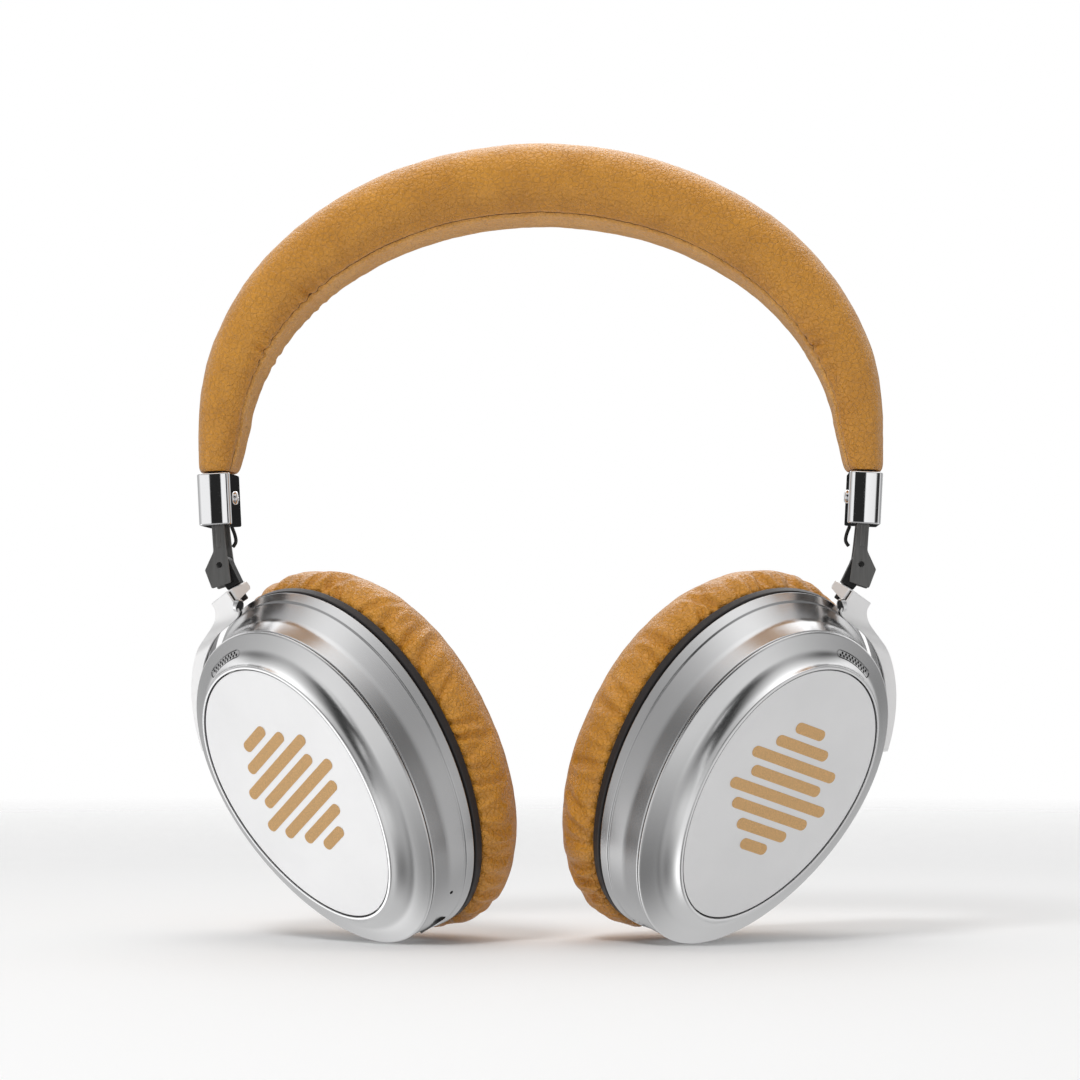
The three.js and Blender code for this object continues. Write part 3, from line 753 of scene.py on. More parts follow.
CREASES = [  # place round the ellipse in degrees, depth, width, lean
    (142.5, 1.1, 1.0, 0.35), (160.5, 1.1, 1.0, 0.1), (145.5, 0.5, 1.1, 0.4), (148.5, 0.35, 1.2, 0.3),
    (152, 0.3, 1.2, 0.3), (157, 0.4, 1.1, 0.15), (163.5, 0.6, 1.0, 0.0), (139.5, 0.45, 1.1, 0.4),
    (136, 0.3, 1.2, 0.4), (131, 0.25, 1.2, 0.3), (168, 0.35, 1.1, 0.0), (20, 1.0, 1.0, -0.1),
    (23, 0.5, 1.1, -0.25), (27, 0.35, 1.2, -0.3), (16.5, 0.5, 1.0, -0.05), (12.5, 0.35, 1.1, 0.0),
    (32, 0.3, 1.3, -0.3), (38, 0.25, 1.3, -0.3), (45, 0.2, 1.4, -0.3),
]
CREASE = {"reach": 14, "cut": 0.62, "ridge": 0.28, "middle": 132, "spread": 23}
GROOVE = {"depth": 0.55, "width": 0.42, "ridge": 0.18, "ridge_at": 1.7, "ridge_width": 1.1}
ROUGHNESS = ((0.22, 17, 1), (0.12, 5, 2), (0.06, 1.8, 3))  # depth, feature size, seed
GROOVE_DEGREES = 1.1  # the strip beside the seam that is as dark as the thread


def dented(lift, offset, depth, width, where, ridge):
    """A lift field with a crease pressed in and a soft ridge raised at each side of it."""
    lift = lift - depth * np.exp(-(offset / width) ** 2) * where
    return lift + ridge * np.exp(-((np.abs(offset) - 2.0 * width) / width) ** 2) * where


def leather_lift(grid, along, rows, angles):
    """How far the leather stands off the band's plain section."""
    upwards, sideways = (rows[:, 1] - BAND["centre_z"]) / BAND["rise"], rows[:, 0] / BAND["half_span"]
    degrees = np.degrees(np.arctan2(upwards, sideways))
    degrees = np.where(degrees < -90, degrees + 360, degrees)
    perimeter = (rows[:, 4] + rows[:, 5]) * 1.75
    from_seam = (np.abs(np.degrees(angles)) - SEAM_ANGLE)[None, :] * perimeter[:, None] / 360
    from_ridge = np.abs(from_seam) - GROOVE["ridge_at"]
    lift = -GROOVE["depth"] * np.exp(-(from_seam / GROOVE["width"]) ** 2)
    lift += GROOVE["ridge"] * np.exp(-(from_ridge / GROOVE["ridge_width"]) ** 2)
    stitch = np.cos(2 * math.pi * along / STITCH["pitch"])[:, None]
    lift += 0.05 * stitch * np.exp(-(from_seam / 1.4) ** 2)
    near_seam = np.exp(-((np.abs(np.degrees(angles)) - CREASE["middle"]) / CREASE["spread"]) ** 2)[None, :]
    inner = 0.5 - 0.5 * np.cos(angles)[None, :]  # 0 on the outer side, 1 on the inner
    for place, depth, width, lean in CREASES:
        offset = along[:, None] - np.interp(place, degrees, along) - lean * (1 - inner) * CREASE["reach"]
        lift = dented(lift, offset, CREASE["cut"] * depth, width, near_seam, CREASE["ridge"] * depth)
    for depth, size, seed in ROUGHNESS:
        lift += depth * rough_field(grid, size, seed)
    ends = np.minimum(along, along[-1] - along)[:, None]
    return lift * np.clip(ends / 6, 0, 1) - 0.6 * np.exp(-ends / 0.7)


def build_headband():
    along, rows = band_stations(0.55)
    angles = np.radians(section_angles())
    grid = np.array([[band_point(row, angle) for angle in angles] for row in rows])
    grid = grid + grid_normals(grid) * leather_lift(grid, along, rows, angles)[..., None]
    cover = make("headband_leather", loft(grid), np.eye(4), LOOKS["leather"])
    cover.data.materials.append(LOOKS["lining"])
    cover.data.materials.append(LOOKS["thread"])
    columns = len(angles)
    past_seam = np.abs(np.degrees((angles + np.roll(angles, -1)) / 2)) - SEAM_ANGLE
    past_seam[-1] = SEAM_ANGLE
    strip = np.where(np.abs(past_seam) < GROOVE_DEGREES, 2, (past_seam > 0).astype(int))
    for index in range((len(rows) - 1) * columns):
        cover.data.polygons[index].material_index = int(strip[index % columns])
    settle(cover, "headband", "leather", "headband_cover", "headband_padding")
    build_stitches(along, grid, angles)


def capsule(start, end, up, radius):
    """One stitch: a flattened thread bowed over the leather."""
    direction = end - start
    side = unit(np.cross(direction, up))
    angles = np.linspace(0, 2 * math.pi, 8, endpoint=False)[:, None]
    sections = []
    for share, size in [(0, 0.25), (0.06, 0.75), (0.25, 1), (0.5, 1), (0.75, 1), (0.94, 0.75), (1, 0.25)]:
        bow = up * STITCH["lift"] * math.sin(math.pi * share)
        ring = 0.8 * np.cos(angles) * up + np.sin(angles) * side
        sections.append(start + direction * share + bow + ring * radius * size)
    return loft(sections)


def build_stitches(along, grid, angles):
    shapes = []
    middle = grid.mean(axis=1)
    for sign in (-1, 1):
        column = int(np.argmin(np.abs(np.degrees(angles) - sign * SEAM_ANGLE)))
        for start in np.arange(STITCH["pitch"] * 1.5, along[-1] - STITCH["pitch"] * 2, STITCH["pitch"]):
            ends = [points_at(s, along, grid[:, column]) for s in (start, start + STITCH["length"])]
            up = unit(ends[0] - points_at(start, along, middle))
            direction = unit(ends[1] - ends[0])
            up = unit(up - up @ direction * direction)
            lifted = [end + up * STITCH["lift"] for end in ends]
            shapes.append(capsule(*lifted, up, STITCH["radius"]))
    add("headband_stitching", together(*shapes), np.eye(4), "thread", "headband", "leather")


# ---------- sleeve, slider and fold hinge ----------

def build_sleeve(side):
    place = FRAMES[side]["slider"]
    low, high = SLEEVE["low"], SLEEVE["high"]
    outer = oblong(SLEEVE["thickness"], SLEEVE["depth"] - 2 * SLEEVE["bow"], 1.0, bulge=SLEEVE["bow"])
    turns = np.arctan2(outer[:, 1], outer[:, 0])
    reach = np.minimum(
        SLEEVE_BORE["half_x"] / np.maximum(np.abs(np.cos(turns)), 1e-6),
        SLEEVE_BORE["half_y"] / np.maximum(np.abs(np.sin(turns)), 1e-6),
    )
    bore_x = np.clip(reach * np.cos(turns), SLEEVE_BORE["least_x"], SLEEVE_BORE["greatest_x"])
    bore = np.stack([bore_x, reach * np.sin(turns)], axis=1)
    sections = [level(inset(outer, margin), z) for margin, z in rim_levels(low, high, SLEEVE["edge"], 5)]
    sections += [level(bore, high), level(bore, low)]
    sleeve = make(f"{side}_chrome_sleeve", loft(sections, closed=True), place, LOOKS["chrome"], 30)
    outwards = ((0, 1, 0), (0, 0, 1), (1, 0, 0))
    seat = turned(lathe(SCREW_SEAT), *outwards, (SCREW_SEAT_FLOOR, 0, SCREW_HEIGHT))
    carve(sleeve, [seat], place, sharp=30)
    settle(sleeve, "headband", "chrome", f"{side}_end_sleeve")
    face = SLEEVE["thickness"] / 2
    head = [(0.9, -0.15), (1.65, -0.15), (1.68, 0.15), (1.6, 0.4), (1.4, 0.6), (1.1, 0.72), (0.8, 0.77),
            (0.72, 0.72), (0.68, 0.2), (0, 0.05)]
    profile = [(0, 1.6), (0.9, 1.6), *[(radius, face + height) for radius, height in head]]
    screw = turned(lathe(profile), *outwards, (0, 0, SCREW_HEIGHT))
    add(f"{side}_sleeve_screw_head", screw, place, "chrome", "headband", "chrome", f"{side}_sleeve_screw")


def build_slider(side):
    place = FRAMES[side]["slider"]
    body = f"{side}_slider"
    outline = refined(rounded(CHEEK, 6, closed=True), 0.6, closed=True)
    cheeks = [turned(slab(outline, low, low + CHEEK_THICKNESS, 0.18), *CROSSWAYS) for low in (-5.8, 4.6)]
    plan = oblong(SLIDER_BAR["thickness"], SLIDER_BAR["width"], 0.3)
    bar = slab(plan, SLIDER_BAR["low"], SLIDER_BAR["high"], 0.2)
    slider = make(f"{side}_slider_plate", bar, place, LOOKS["dark_steel"], 30)
    carve(slider, cheeks, place, "UNION", 30)
    carve(slider, [turned(rod(PIN["slider_bore"]), *CROSSWAYS)], place, sharp=30)
    settle(slider, body, "dark_steel", f"{side}_slider_bar")
    half, radius = PIN["half"], PIN["radius"]
    end = [(0, -half + 0.1), (0.45, -half + 0.12), (0.6, -half + 0.25), (radius, -half + 0.5)]
    pin = turned(lathe(end + [(r, -h) for r, h in end[::-1]], 28), *CROSSWAYS)
    add(f"{side}_fold_pin", pin, place, "pin_black", body, "pin_black", f"{side}_hinge_pin")
    loop = tube(spline(CABLE["path"], 24, closed=False), CABLE["radius"])
    look = "cable_black"
    add(f"{side}_cable_loop", loop, place, look, body, look, f"{side}_speaker_cable", sharp=60)


def build_knuckle(side):
    place = FRAMES[side]["folded"]
    radius, foot, foot_half = KNUCKLE["radius"], KNUCKLE["foot"], KNUCKLE["foot_half"]
    barrel = [(radius * math.cos(a), radius * math.sin(a)) for a in np.radians(np.arange(-20, 201, 8))]
    outline = refined(np.array(barrel + [(-foot_half, foot), (foot_half, foot)]), 0.5, closed=True)
    block = turned(slab(outline, -KNUCKLE["half_width"], KNUCKLE["half_width"], 0.3), *CROSSWAYS)
    knuckle = make(f"{side}_knuckle_block", block, place, LOOKS["pin_black"], 30)
    end, top, thick = POST["end"], foot + 0.5, POST["radius"]
    post = lathe([(0, end), (thick - 0.2, end), (thick, end + 0.2), (thick, top), (0, top)], 28)
    carve(knuckle, [post], place, "UNION", 30)
    carve(knuckle, [turned(rod(PIN["knuckle_bore"], sides=28), *CROSSWAYS)], place, sharp=30)
    settle(knuckle, f"{side}_knuckle", "pin_black", f"{side}_hinge_knuckle")


# ---------- yoke ----------

def smoothstep(value, low, high):
    t = np.clip((np.asarray(value, float) - low) / (high - low), 0, 1)
    return t * t * (3 - 2 * t)


def yoke_edges(margin, gap=0.0, count=90):
    """The yoke's outer and inner edges in plan, from the top of the block to the arm's end.

    The gap sets the inner edge back at the block, and less and less along the arm.
    """
    end, drop = ARM["end"] - margin, ARM["drop"]
    outer_arc = [oval(ARM["outer"] - margin, 0, drop, d)[:2] for d in np.linspace(110, end, 30)]
    inner_arc = [
        oval(ARM["inner"] + margin + gap * (1 - smoothstep(d, 100, 116)), 0, drop, d)[:2]
        for d in np.linspace(98, end, 30)
    ]
    top = YOKE["top"] - margin
    rear, front = YOKE["rear"] + margin, YOKE["front"] - margin
    outer = [(rear, top, 0), (rear, 49.4, 1.6), (rear - 2.4, 47.4, 3.0)]
    inner = [(front, top, 0), (front, 45.2 + gap, 2.0), (0.9, 44.5 + gap, 1.5)]
    outer += [(*point, 2.0) for point in outer_arc]
    inner += [(*point, 1.0) for point in inner_arc]
    edges = []
    for edge in (outer, inner):
        path = rounded(edge, 8)
        length = lengths_along(path)
        edges.append(points_at(np.linspace(0, length[-1], count), length, path))
    return edges


def ribbon(outer, inner, low, high, corner=0.45, steps=5):
    """A bar of rounded section between two edges in plan, with rounded ends."""
    length = lengths_along((outer + inner) / 2)
    at_end = np.linspace(0, corner, 5)
    between = length[(length > corner) & (length < length[-1] - corner)]
    sections = []
    for s in np.unique(np.concatenate([at_end, between, length[-1] - at_end])):
        a, b = (points_at(s, length, edge) for edge in (outer, inner))
        z0, z1 = (np.interp(s, length, height) for height in (low, high))
        shrink = shrink_near(min(s, length[-1] - s, corner), corner)
        across = unit(b - a)
        a, b = a + across * shrink, b - across * shrink
        z0, z1 = z0 + shrink, z1 - shrink
        width = np.linalg.norm(b - a)
        r = max(min(corner, width / 2 - 0.02, (z1 - z0) / 2 - 0.02), 0.02)
        section = []
        centres = [(width - r, z1 - r), (r, z1 - r), (r, z0 + r), (width - r, z0 + r)]
        for quarter, (u, z) in enumerate(centres):
            for t in np.linspace(quarter, quarter + 1, steps) * math.pi / 2:
                plan = a + across * (u + r * math.cos(t))
                section.append((*plan, z + r * math.sin(t)))
        sections.append(section)
    return loft(sections)


def build_yoke(side):
    place = FRAMES[side]["cup"]
    body = f"{side}_yoke"
    outer, inner = yoke_edges(0, gap=TILT_ROOM)
    middle = (outer + inner) / 2
    turn = np.degrees(np.arctan2(middle[:, 1] + ARM["drop"], middle[:, 0] * 1.25))
    split = YOKE["split"] + (YOKE["arm_split"] - YOKE["split"]) * smoothstep(turn, 92, 112)
    low = YOKE["low"] + (ARM["low"] - YOKE["low"]) * smoothstep(-middle[:, 1], -49.8, -48.2)
    low = low - ARM["lug"] * smoothstep(turn, 138, 141)
    frame_bar = ribbon(outer, inner, low, split)
    yoke = make(f"{side}_yoke_frame", frame_bar, place, LOOKS["bright"], 30)
    bore = turned(rod(POST["bore"], 6), *CROSSWAYS, (0, YOKE["top"], 0))
    carve(yoke, [bore], place, sharp=30)
    settle(yoke, body, "aluminium", f"{side}_yoke")
    face_bar = ribbon(*yoke_edges(0.12), split + JOINT_STRIP, split + COVER_THICKNESS, 0.28)
    add(f"{side}_yoke_face", face_bar, place, "bright", body, "aluminium", f"{side}_yoke_cover", sharp=30)
    # The strip in the gap between the yoke frame and its cover is drawn black: painted shade for the gap.
    strip_bar = ribbon(*yoke_edges(0.45), split - 0.2, split + JOINT_STRIP + 0.1, 0.1)
    add(f"{side}_yoke_joint_strip", strip_bar, place, "pin_black", body, "aluminium", sharp=30)
    build_grommet(side, place, body)


def build_grommet(side, place, body):
    """The oval collar and plug where the cable leaves the yoke for the cup."""
    collar = [(0.78, -0.7), (0.78, 0.25), (0.81, 0.36), (0.87, 0.4), (0.94, 0.36), (1.0, 0.25), (1.0, -0.7)]
    plug = [(0, -0.6), (0.74, -0.6), (0.74, 0.1), (0.5, 0.2), (0, 0.22)]
    turn = math.radians(GROMMET["turn"])
    outwards, sideways = (math.cos(turn), math.sin(turn), 0.0), (-math.sin(turn), math.cos(turn), 0.0)
    for name, profile, look in (("cable_collar", collar, "aluminium"), ("cable_plug", plug, "cable_black")):
        shape = loft(rings(profile, stretch=GROMMET["stretch"]), closed=name == "cable_collar")
        shape = turned(shape, sideways, (0, 0, 1), outwards, GROMMET["centre"])
        add(f"{side}_{name}", shape, place, look, body, look)


# ---------- cup ----------

def dome_height(radius):
    """The dome's height and drop at a radius on its shoulder."""
    profile = rounded(SHELL)
    start = int(np.argmax(profile[:, 0]))
    shoulder = profile[start:start + 60]
    order = np.argsort(shoulder[:, 0])
    return [np.interp(radius, shoulder[order, 0], shoulder[order, k]) for k in (1, 2)]


def vent_shape(grow, above, below):
    """The pill-shaped vent insert, which follows the dome, or the pocket for it."""
    inner, outer = VENT["inner"] - grow, VENT["outer"] + grow
    half, middle = (outer - inner) / 2, (outer + inner) / 2
    radius = 30.0  # millimetres of arc to a radian, near the top of the oval
    start = VENT["from"] - math.degrees(grow / radius)
    span = math.radians(VENT["to"] - VENT["from"]) * radius + 2 * grow
    sections = []
    shares = 1 - np.cos(np.linspace(0.12, math.pi / 2, 7))
    ends = half * shares
    for s in np.concatenate([ends, np.linspace(half, span - half, 22)[1:-1], (span - ends)[::-1]]):
        from_end = min(s, span - s, half)
        width = math.sqrt(max(half**2 - (half - from_end) ** 2, 1e-4))
        degrees = start + math.degrees(s / radius)
        top, base = [], []
        for r in np.linspace(middle - width, middle + width, 9):
            z, drop = dome_height(r)
            top.append(oval(r, z + above, drop, degrees))
            base.append(oval(r, z - below, drop, degrees))
        sections.append(top + base[::-1])
    return loft(sections)


def vent_holes():
    """Two staggered rows of small round holes."""
    shapes = []
    pitch, stagger = 2.3, 1.15
    for row, radius in enumerate((VENT["inner"] + 0.45, VENT["outer"] - 0.45)):
        for degrees in np.arange(VENT["from"] + 2.2 + row * stagger, VENT["to"] - 2.0, pitch):
            z, drop = dome_height(radius)
            shapes.append(turned(rod(0.33, 1, 12), *np.eye(3), oval(radius, z, drop, degrees)))
    return together(*shapes)


def build_dome(side, place, body):
    shell = make(f"{side}_dome", oval_loft(refined(rounded(SHELL), 1.2)), place, LOOKS["aluminium"], 28)
    carve(shell, [vent_shape(VENT["pocket_gap"], 2, VENT["depth"])], place, sharp=28)
    settle(shell, body, "aluminium", f"{side}_cup_shell")
    vent = make(f"{side}_vent_insert", vent_shape(0, -0.14, 0.6), place, LOOKS["aluminium"], 30)
    carve(vent, [vent_holes()], place, sharp=30)
    settle(vent, body, "vent_mesh", f"{side}_vent_grille")
    backing = vent_shape(-0.1, -0.6, 1.0)
    add(f"{side}_vent_backing", backing, place, "pin_black", body, "vent_mesh", sharp=30)
    plate, look = oval_loft(rounded(FACE_PLATE)), "plate_white"
    add(f"{side}_face_plate", plate, place, look, body, look, f"{side}_cover_plate")
    build_mark(side, place, body)


def build_mark(side, place, body):
    """A generic painted mark: an equaliser of round-ended bars."""
    shapes = []
    lean = math.radians(MARK["lean"] if side == "left" else -MARK["lean"])
    along, across = (math.cos(lean), math.sin(lean), 0), (-math.sin(lean), math.cos(lean), 0)
    for index, length in enumerate(MARK_LENGTHS):
        bar = slab(oblong(length, MARK["width"], 1.44), MARK["low"], MARK["high"], 0.02, 2)
        offset = (index - (len(MARK_LENGTHS) - 1) / 2) * MARK["pitch"]
        centre = np.array(across) * offset + np.array([0, 1.0, 0])
        shapes.append(turned(bar, along, across, (0, 0, 1), centre))
    add(f"{side}_plate_mark", together(*shapes), place, "mark", body, "plate_white")


def wall_cuts(side):
    """The openings in a cup's wall: the port's slot and microphone, or the jack's bore, and the buttons."""
    gap = 0.25
    if side == "left":
        slot = slab(oblong(*PORT["slot"]), -50, -38, 0.05, 2)
        hole = rod(MICROPHONE["radius"], 3, 16)
        mouth = oval(*MICROPHONE["place"])
        cuts = [
            turned(slot, *CROSSWAYS, (0, 0, PORT_HEIGHT)),
            turned(hole, (0, 0, 1), MICROPHONE["across"], MICROPHONE["inwards"], mouth),
        ]
    else:
        hole = lathe([(0, -50), (JACK["bore"], -50), (JACK["bore"], -38), (0, -38)])
        cuts = [turned(hole, *CROSSWAYS, (0, 0, JACK_HEIGHT))]
    for _, start, end in BUTTONS[side]:
        low, high = BUTTON["low"] - gap, BUTTON["high"] + gap
        cuts.append(oval_bar(38, 48, low, high, BUTTON["drop"], start - 0.4, end + 0.4))
    return cuts


def build_base(side, place, body):
    profile = refined(rounded(BASE, closed=True), 0.9, closed=True)
    base = make(f"{side}_cup_wall", oval_loft(profile, 240, closed=True), place, LOOKS["wall"], 28)
    carve(base, wall_cuts(side), place, sharp=28)
    settle(base, body, "aluminium", f"{side}_cup_base")
    for name, start, end in BUTTONS[side]:
        size = [BUTTON[key] for key in ("inner", "outer", "low", "high", "drop")]
        cap, node = oval_bar(*size, start, end, 0.35), f"{side}_{name}"
        add(f"{node}_cap", cap, place, "bright", f"{node}_body", "dark_steel", node)
    build_port(side, place, body)


def build_port(side, place, body):
    """The charging port of the left cup, whose steel shell is drawn black as painted shade for its dark slot, or
    the audio jack of the right one.
    """
    if side == "left":
        width, height, wall = PORT["width"], PORT["height"], PORT["wall"]
        outer, inner = oblong(width, height, 1.5), oblong(width - 2 * wall, height - 2 * wall, 1.12)
        count = min(len(outer), len(inner))
        outer, inner = (
            plan[np.linspace(0, len(plan), count, endpoint=False).astype(int)] for plan in (outer, inner)
        )
        mouth, floor = PORT["mouth"], PORT["floor"]
        sections = [level(outer, mouth), level(outer, floor), level(inner, floor), level(inner, mouth)]
        tongue = oblong(TONGUE["width"], TONGUE["height"], 0.2)
        tongue = slab(tongue, TONGUE["mouth"], TONGUE["floor"], 0.1, 3)
        shape = turned(together(loft(sections, closed=True), tongue), *CROSSWAYS, (0, 0, PORT_HEIGHT))
        name, node = "left_charging_port", "left_usb_port"
        # The port's steel shell is drawn black: painted shade for the dark slot inside it.
        add(name, shape, place, "pin_black", body, "spring_steel", node, sharp=30)
    else:
        shape = turned(loft(rings(JACK_PROFILE), closed=True), *CROSSWAYS, (0, JACK["mouth"], JACK_HEIGHT))
        look = "black_plastic"
        add("right_headphone_jack", shape, place, look, body, look, "right_audio_jack")


def build_gasket(side, place, body):
    profile = refined(rounded(GASKET, closed=True), 0.9, closed=True)
    ring, look = oval_loft(profile, 240, closed=True), "black_plastic"
    add(f"{side}_gasket", ring, place, look, body, look, f"{side}_cushion_ring")
    cloth = oval_loft(refined(rounded(SCREEN), 1.5), 120)
    add(f"{side}_speaker_screen", cloth, place, "cloth", body, "cloth", f"{side}_speaker_cloth")


# ---------- ear cushion ----------

SEAMS = (  # gathers at the outer and the inner seam: count, depth, length
    (66, 1.2, 15.0),
    (46, 0.6, 9.0),
)


def folds(random, count, depth, length):
    """Places and sizes of the gathers round a seam."""
    even = np.arange(count) * 360 / count
    return zip(
        even + random.uniform(-0.45, 0.45, count) * 360 / count,
        random.uniform(0.3, 1.0, count) * depth,
        random.uniform(0.55, 1.0, count) * length,
        random.uniform(-0.45, 0.45, count),
        random.uniform(0.6, 1.1, count),
    )


def cushion_shape(side):
    """The cushion before it is blown up, with a gather at each stitch group, and its seams."""
    random = np.random.default_rng(7 if side == "left" else 19)
    columns, rows = 96, 720
    profile = spline(CUSHION, columns)
    degrees = np.linspace(0, 360, rows, endpoint=False)
    grid = np.stack([oval(r, z, CUSHION_DROP, degrees) for r, z in profile], axis=1)
    normals = grid_normals(np.concatenate([grid, grid[:1]]))[:rows]
    step = np.linalg.norm(np.diff(np.vstack([profile, profile[:1]]), axis=0), axis=1)
    from_outer = np.concatenate([[0], np.cumsum(step)[:-1]])
    inner_seam = step.sum() - np.linalg.norm(np.subtract(CUSHION[-1], CUSHION[0]))
    from_inner = np.abs(inner_seam - from_outer)
    ring = np.linalg.norm(np.roll(grid[:, 0], -1, axis=0) - grid[:, 0], axis=1)
    along = np.concatenate([[0], np.cumsum(ring)[:-1]])
    total = ring.sum()
    lift = np.zeros(grid.shape[:2])
    for distance, seam in zip((from_outer, from_inner), SEAMS):
        for place, deep, reach, lean, width in folds(random, *seam):
            centre = np.interp(place % 360, degrees, along)
            offset = along[:, None] - centre - lean * distance[None, :]
            offset = (offset + total / 2) % total - total / 2
            spread = width * (1 + 0.05 * distance[None, :])
            fade = np.clip(1 - distance[None, :] / reach, 0, 1) ** 0.7
            lift = dented(lift, offset, deep, spread, fade, 0.4 * deep)
    lift += 0.25 * rough_field(grid, 11, 4) + 0.14 * rough_field(grid, 3.5, 5)
    back = from_outer > inner_seam
    seams = back | (from_outer < 1.2) | (from_inner < 1.2)
    return grid + normals * np.where(back[None, :], 0, lift)[..., None], seams


SIMULATION = {"scale": 10.0, "frames": 20, "pressure": 1.5, "growth": 0.035, "cap": 1.2, "kept_swell": 0.1}


def blown_up(grid, seams):
    """The grid after a cloth simulation with pressure inside, its seams held and its leather in excess."""
    coarse = grid[::2, ::2]
    rows, columns, _ = coarse.shape
    points, faces = loft(coarse, closed=True)
    mesh = bpy.data.meshes.new("simulated")
    mesh.from_pydata((points * MM * SIMULATION["scale"]).tolist(), [], faces)
    piece = bpy.data.objects.new("simulated", mesh)
    bpy.context.scene.collection.objects.link(piece)
    held = piece.vertex_groups.new(name="held")
    for column in np.flatnonzero(seams[::2]):
        held.add([row * columns + int(column) for row in range(rows)], 1.0, "REPLACE")
    cloth = piece.modifiers.new("cloth", "CLOTH")
    settings = cloth.settings
    settings.quality, settings.mass = 5, 0.4
    settings.tension_stiffness = settings.compression_stiffness = 20
    settings.shear_stiffness, settings.bending_stiffness = 8, 1.5
    settings.tension_damping = settings.compression_damping = settings.shear_damping = 15
    settings.use_pressure, settings.uniform_pressure_force = True, SIMULATION["pressure"]
    settings.shrink_min = -SIMULATION["growth"]
    settings.vertex_group_mass, settings.pin_stiffness = "held", 1.0
    settings.effector_weights.gravity = 0
    cloth.collision_settings.use_collision = False
    cloth.point_cache.frame_start, cloth.point_cache.frame_end = 1, SIMULATION["frames"]
    scene = bpy.context.scene
    for number in range(1, SIMULATION["frames"] + 1):
        scene.frame_set(number)
    graph = bpy.context.evaluated_depsgraph_get()
    result = piece.evaluated_get(graph).data
    moved = np.empty(len(points) * 3)
    result.vertices.foreach_get("co", moved)
    scene.frame_set(1)
    bpy.data.objects.remove(piece)
    shift = (moved.reshape(coarse.shape) / (MM * SIMULATION["scale"])) - coarse
    size = np.linalg.norm(shift, axis=2, keepdims=True)
    shift *= np.minimum(1, SIMULATION["cap"] / np.maximum(size, 1e-9))
    normals = grid_normals(np.concatenate([coarse, coarse[:1]]))[:rows]
    swell = np.sum(shift * normals, axis=2).mean(axis=0)[None, :, None]
    shift -= normals * swell * (1 - SIMULATION["kept_swell"])
    fine = np.empty_like(grid)
    fine[::2, ::2] = shift
    fine[1::2, ::2] = (shift + np.roll(shift, -1, axis=0)) / 2
    fine[:, 1::2] = (fine[:, ::2] + np.roll(fine[:, ::2], -1, axis=1)) / 2
    return grid + fine


def build_cushion(side, place, body):
    cushion, look = loft(blown_up(*cushion_shape(side)), closed=True), "leather"
    add(f"{side}_leather_cushion", cushion, place, look, body, look, f"{side}_ear_cushion", sharp=60)


# ---------- pieces carried over from the frame ----------

def dress_frame():
    """Gives each CAD node that stays its own finish."""
    inner_looks = {
        "baffle": "black_plastic", "baffle_screw_upper": "dark_steel", "baffle_screw_lower": "dark_steel",
        "driver": "driver_metal", "circuit_board": "board_green", "slider_guide": "black_plastic",
        "tilt_pin": "dark_steel", "battery": "battery_foil",
    }
    for name, node in frame["nodes"].items():
        short = name.split("_", 1)[1]
        look = "spring_steel" if name == "headband_spring" else inner_looks.get(short)
        if look is None:
            continue
        node.data.materials.clear()
        node.data.materials.append(LOOKS[look])


# ---------- studio ----------

FLOOR = {"reach": 1.5, "fades_from": 0.35, "gone_at": 0.9, "colour": (0.96, 0.96, 0.96)}  # metres
CAMERA = {"azimuth": 2.7, "elevation": -2.0, "distance": 0.85, "lens": 113.3, "target": (0, 0, -0.07875)}
LIGHTS = {  # place and size in metres, power in watts
    "key": ((-0.35, -0.75, 0.95), 0.35, 5.5),
    "top": ((0.0, 0.1, 1.0), 0.8, 3.2),
}
LIGHT_TARGET = (0, 0, -0.08)

def build_floor():
    """A white floor that fades into the background away from the object."""
    lowest, reach = CAD_BOUNDS[0].z, FLOOR["reach"]
    corners = [(x * reach, y * reach, lowest) for x, y in ((-1, -1), (1, -1), (1, 1), (-1, 1))]
    mesh = bpy.data.meshes.new("floor")
    mesh.from_pydata(corners, [], [(0, 1, 2, 3)])
    floor = bpy.data.objects.new("studio_floor", mesh)
    bpy.context.scene.collection.objects.link(floor)
    floor.visible_glossy = False
    look = Look("floor_paint", FLOOR["colour"], 0.8)
    look.set("Base Color", look.ramp(look.noise(400, 2), [(0.3, 0.95), (0.7, 0.97)]))
    away = look.nodes.new("ShaderNodeVectorMath")
    away.operation = "LENGTH"
    look.links.new(look.scaled((1, 1, 0)), away.inputs[0])
    fade = look.ramp(away.outputs["Value"], [(FLOOR["fades_from"], 1.0), (FLOOR["gone_at"], 0.0)])
    facing = look.nodes.new("ShaderNodeNewGeometry").outputs["Backfacing"]
    solid = look.math("MULTIPLY", fade, look.math("SUBTRACT", 1.0, facing))
    clear = look.nodes.new("ShaderNodeBsdfTransparent")
    mix = look.nodes.new("ShaderNodeMixShader")
    look.links.new(solid, mix.inputs["Fac"])
    look.links.new(clear.outputs["BSDF"], mix.inputs[1])
    look.links.new(look.shader.outputs["BSDF"], mix.inputs[2])
    look.links.new(mix.outputs["Shader"], look.nodes["Material Output"].inputs["Surface"])
    mesh.materials.append(look.material)


def area_light(name, place, size, power_watts):
    data = bpy.data.lights.new(name, "AREA")
    data.shape, data.size, data.energy = "DISK", size, power_watts
    lamp = bpy.data.objects.new(name, data)
    lamp.location = place
    lamp.rotation_euler = (Vector(LIGHT_TARGET) - Vector(place)).to_track_quat("-Z", "Y").to_euler()
    lamp.visible_glossy = False
    bpy.context.scene.collection.objects.link(lamp)


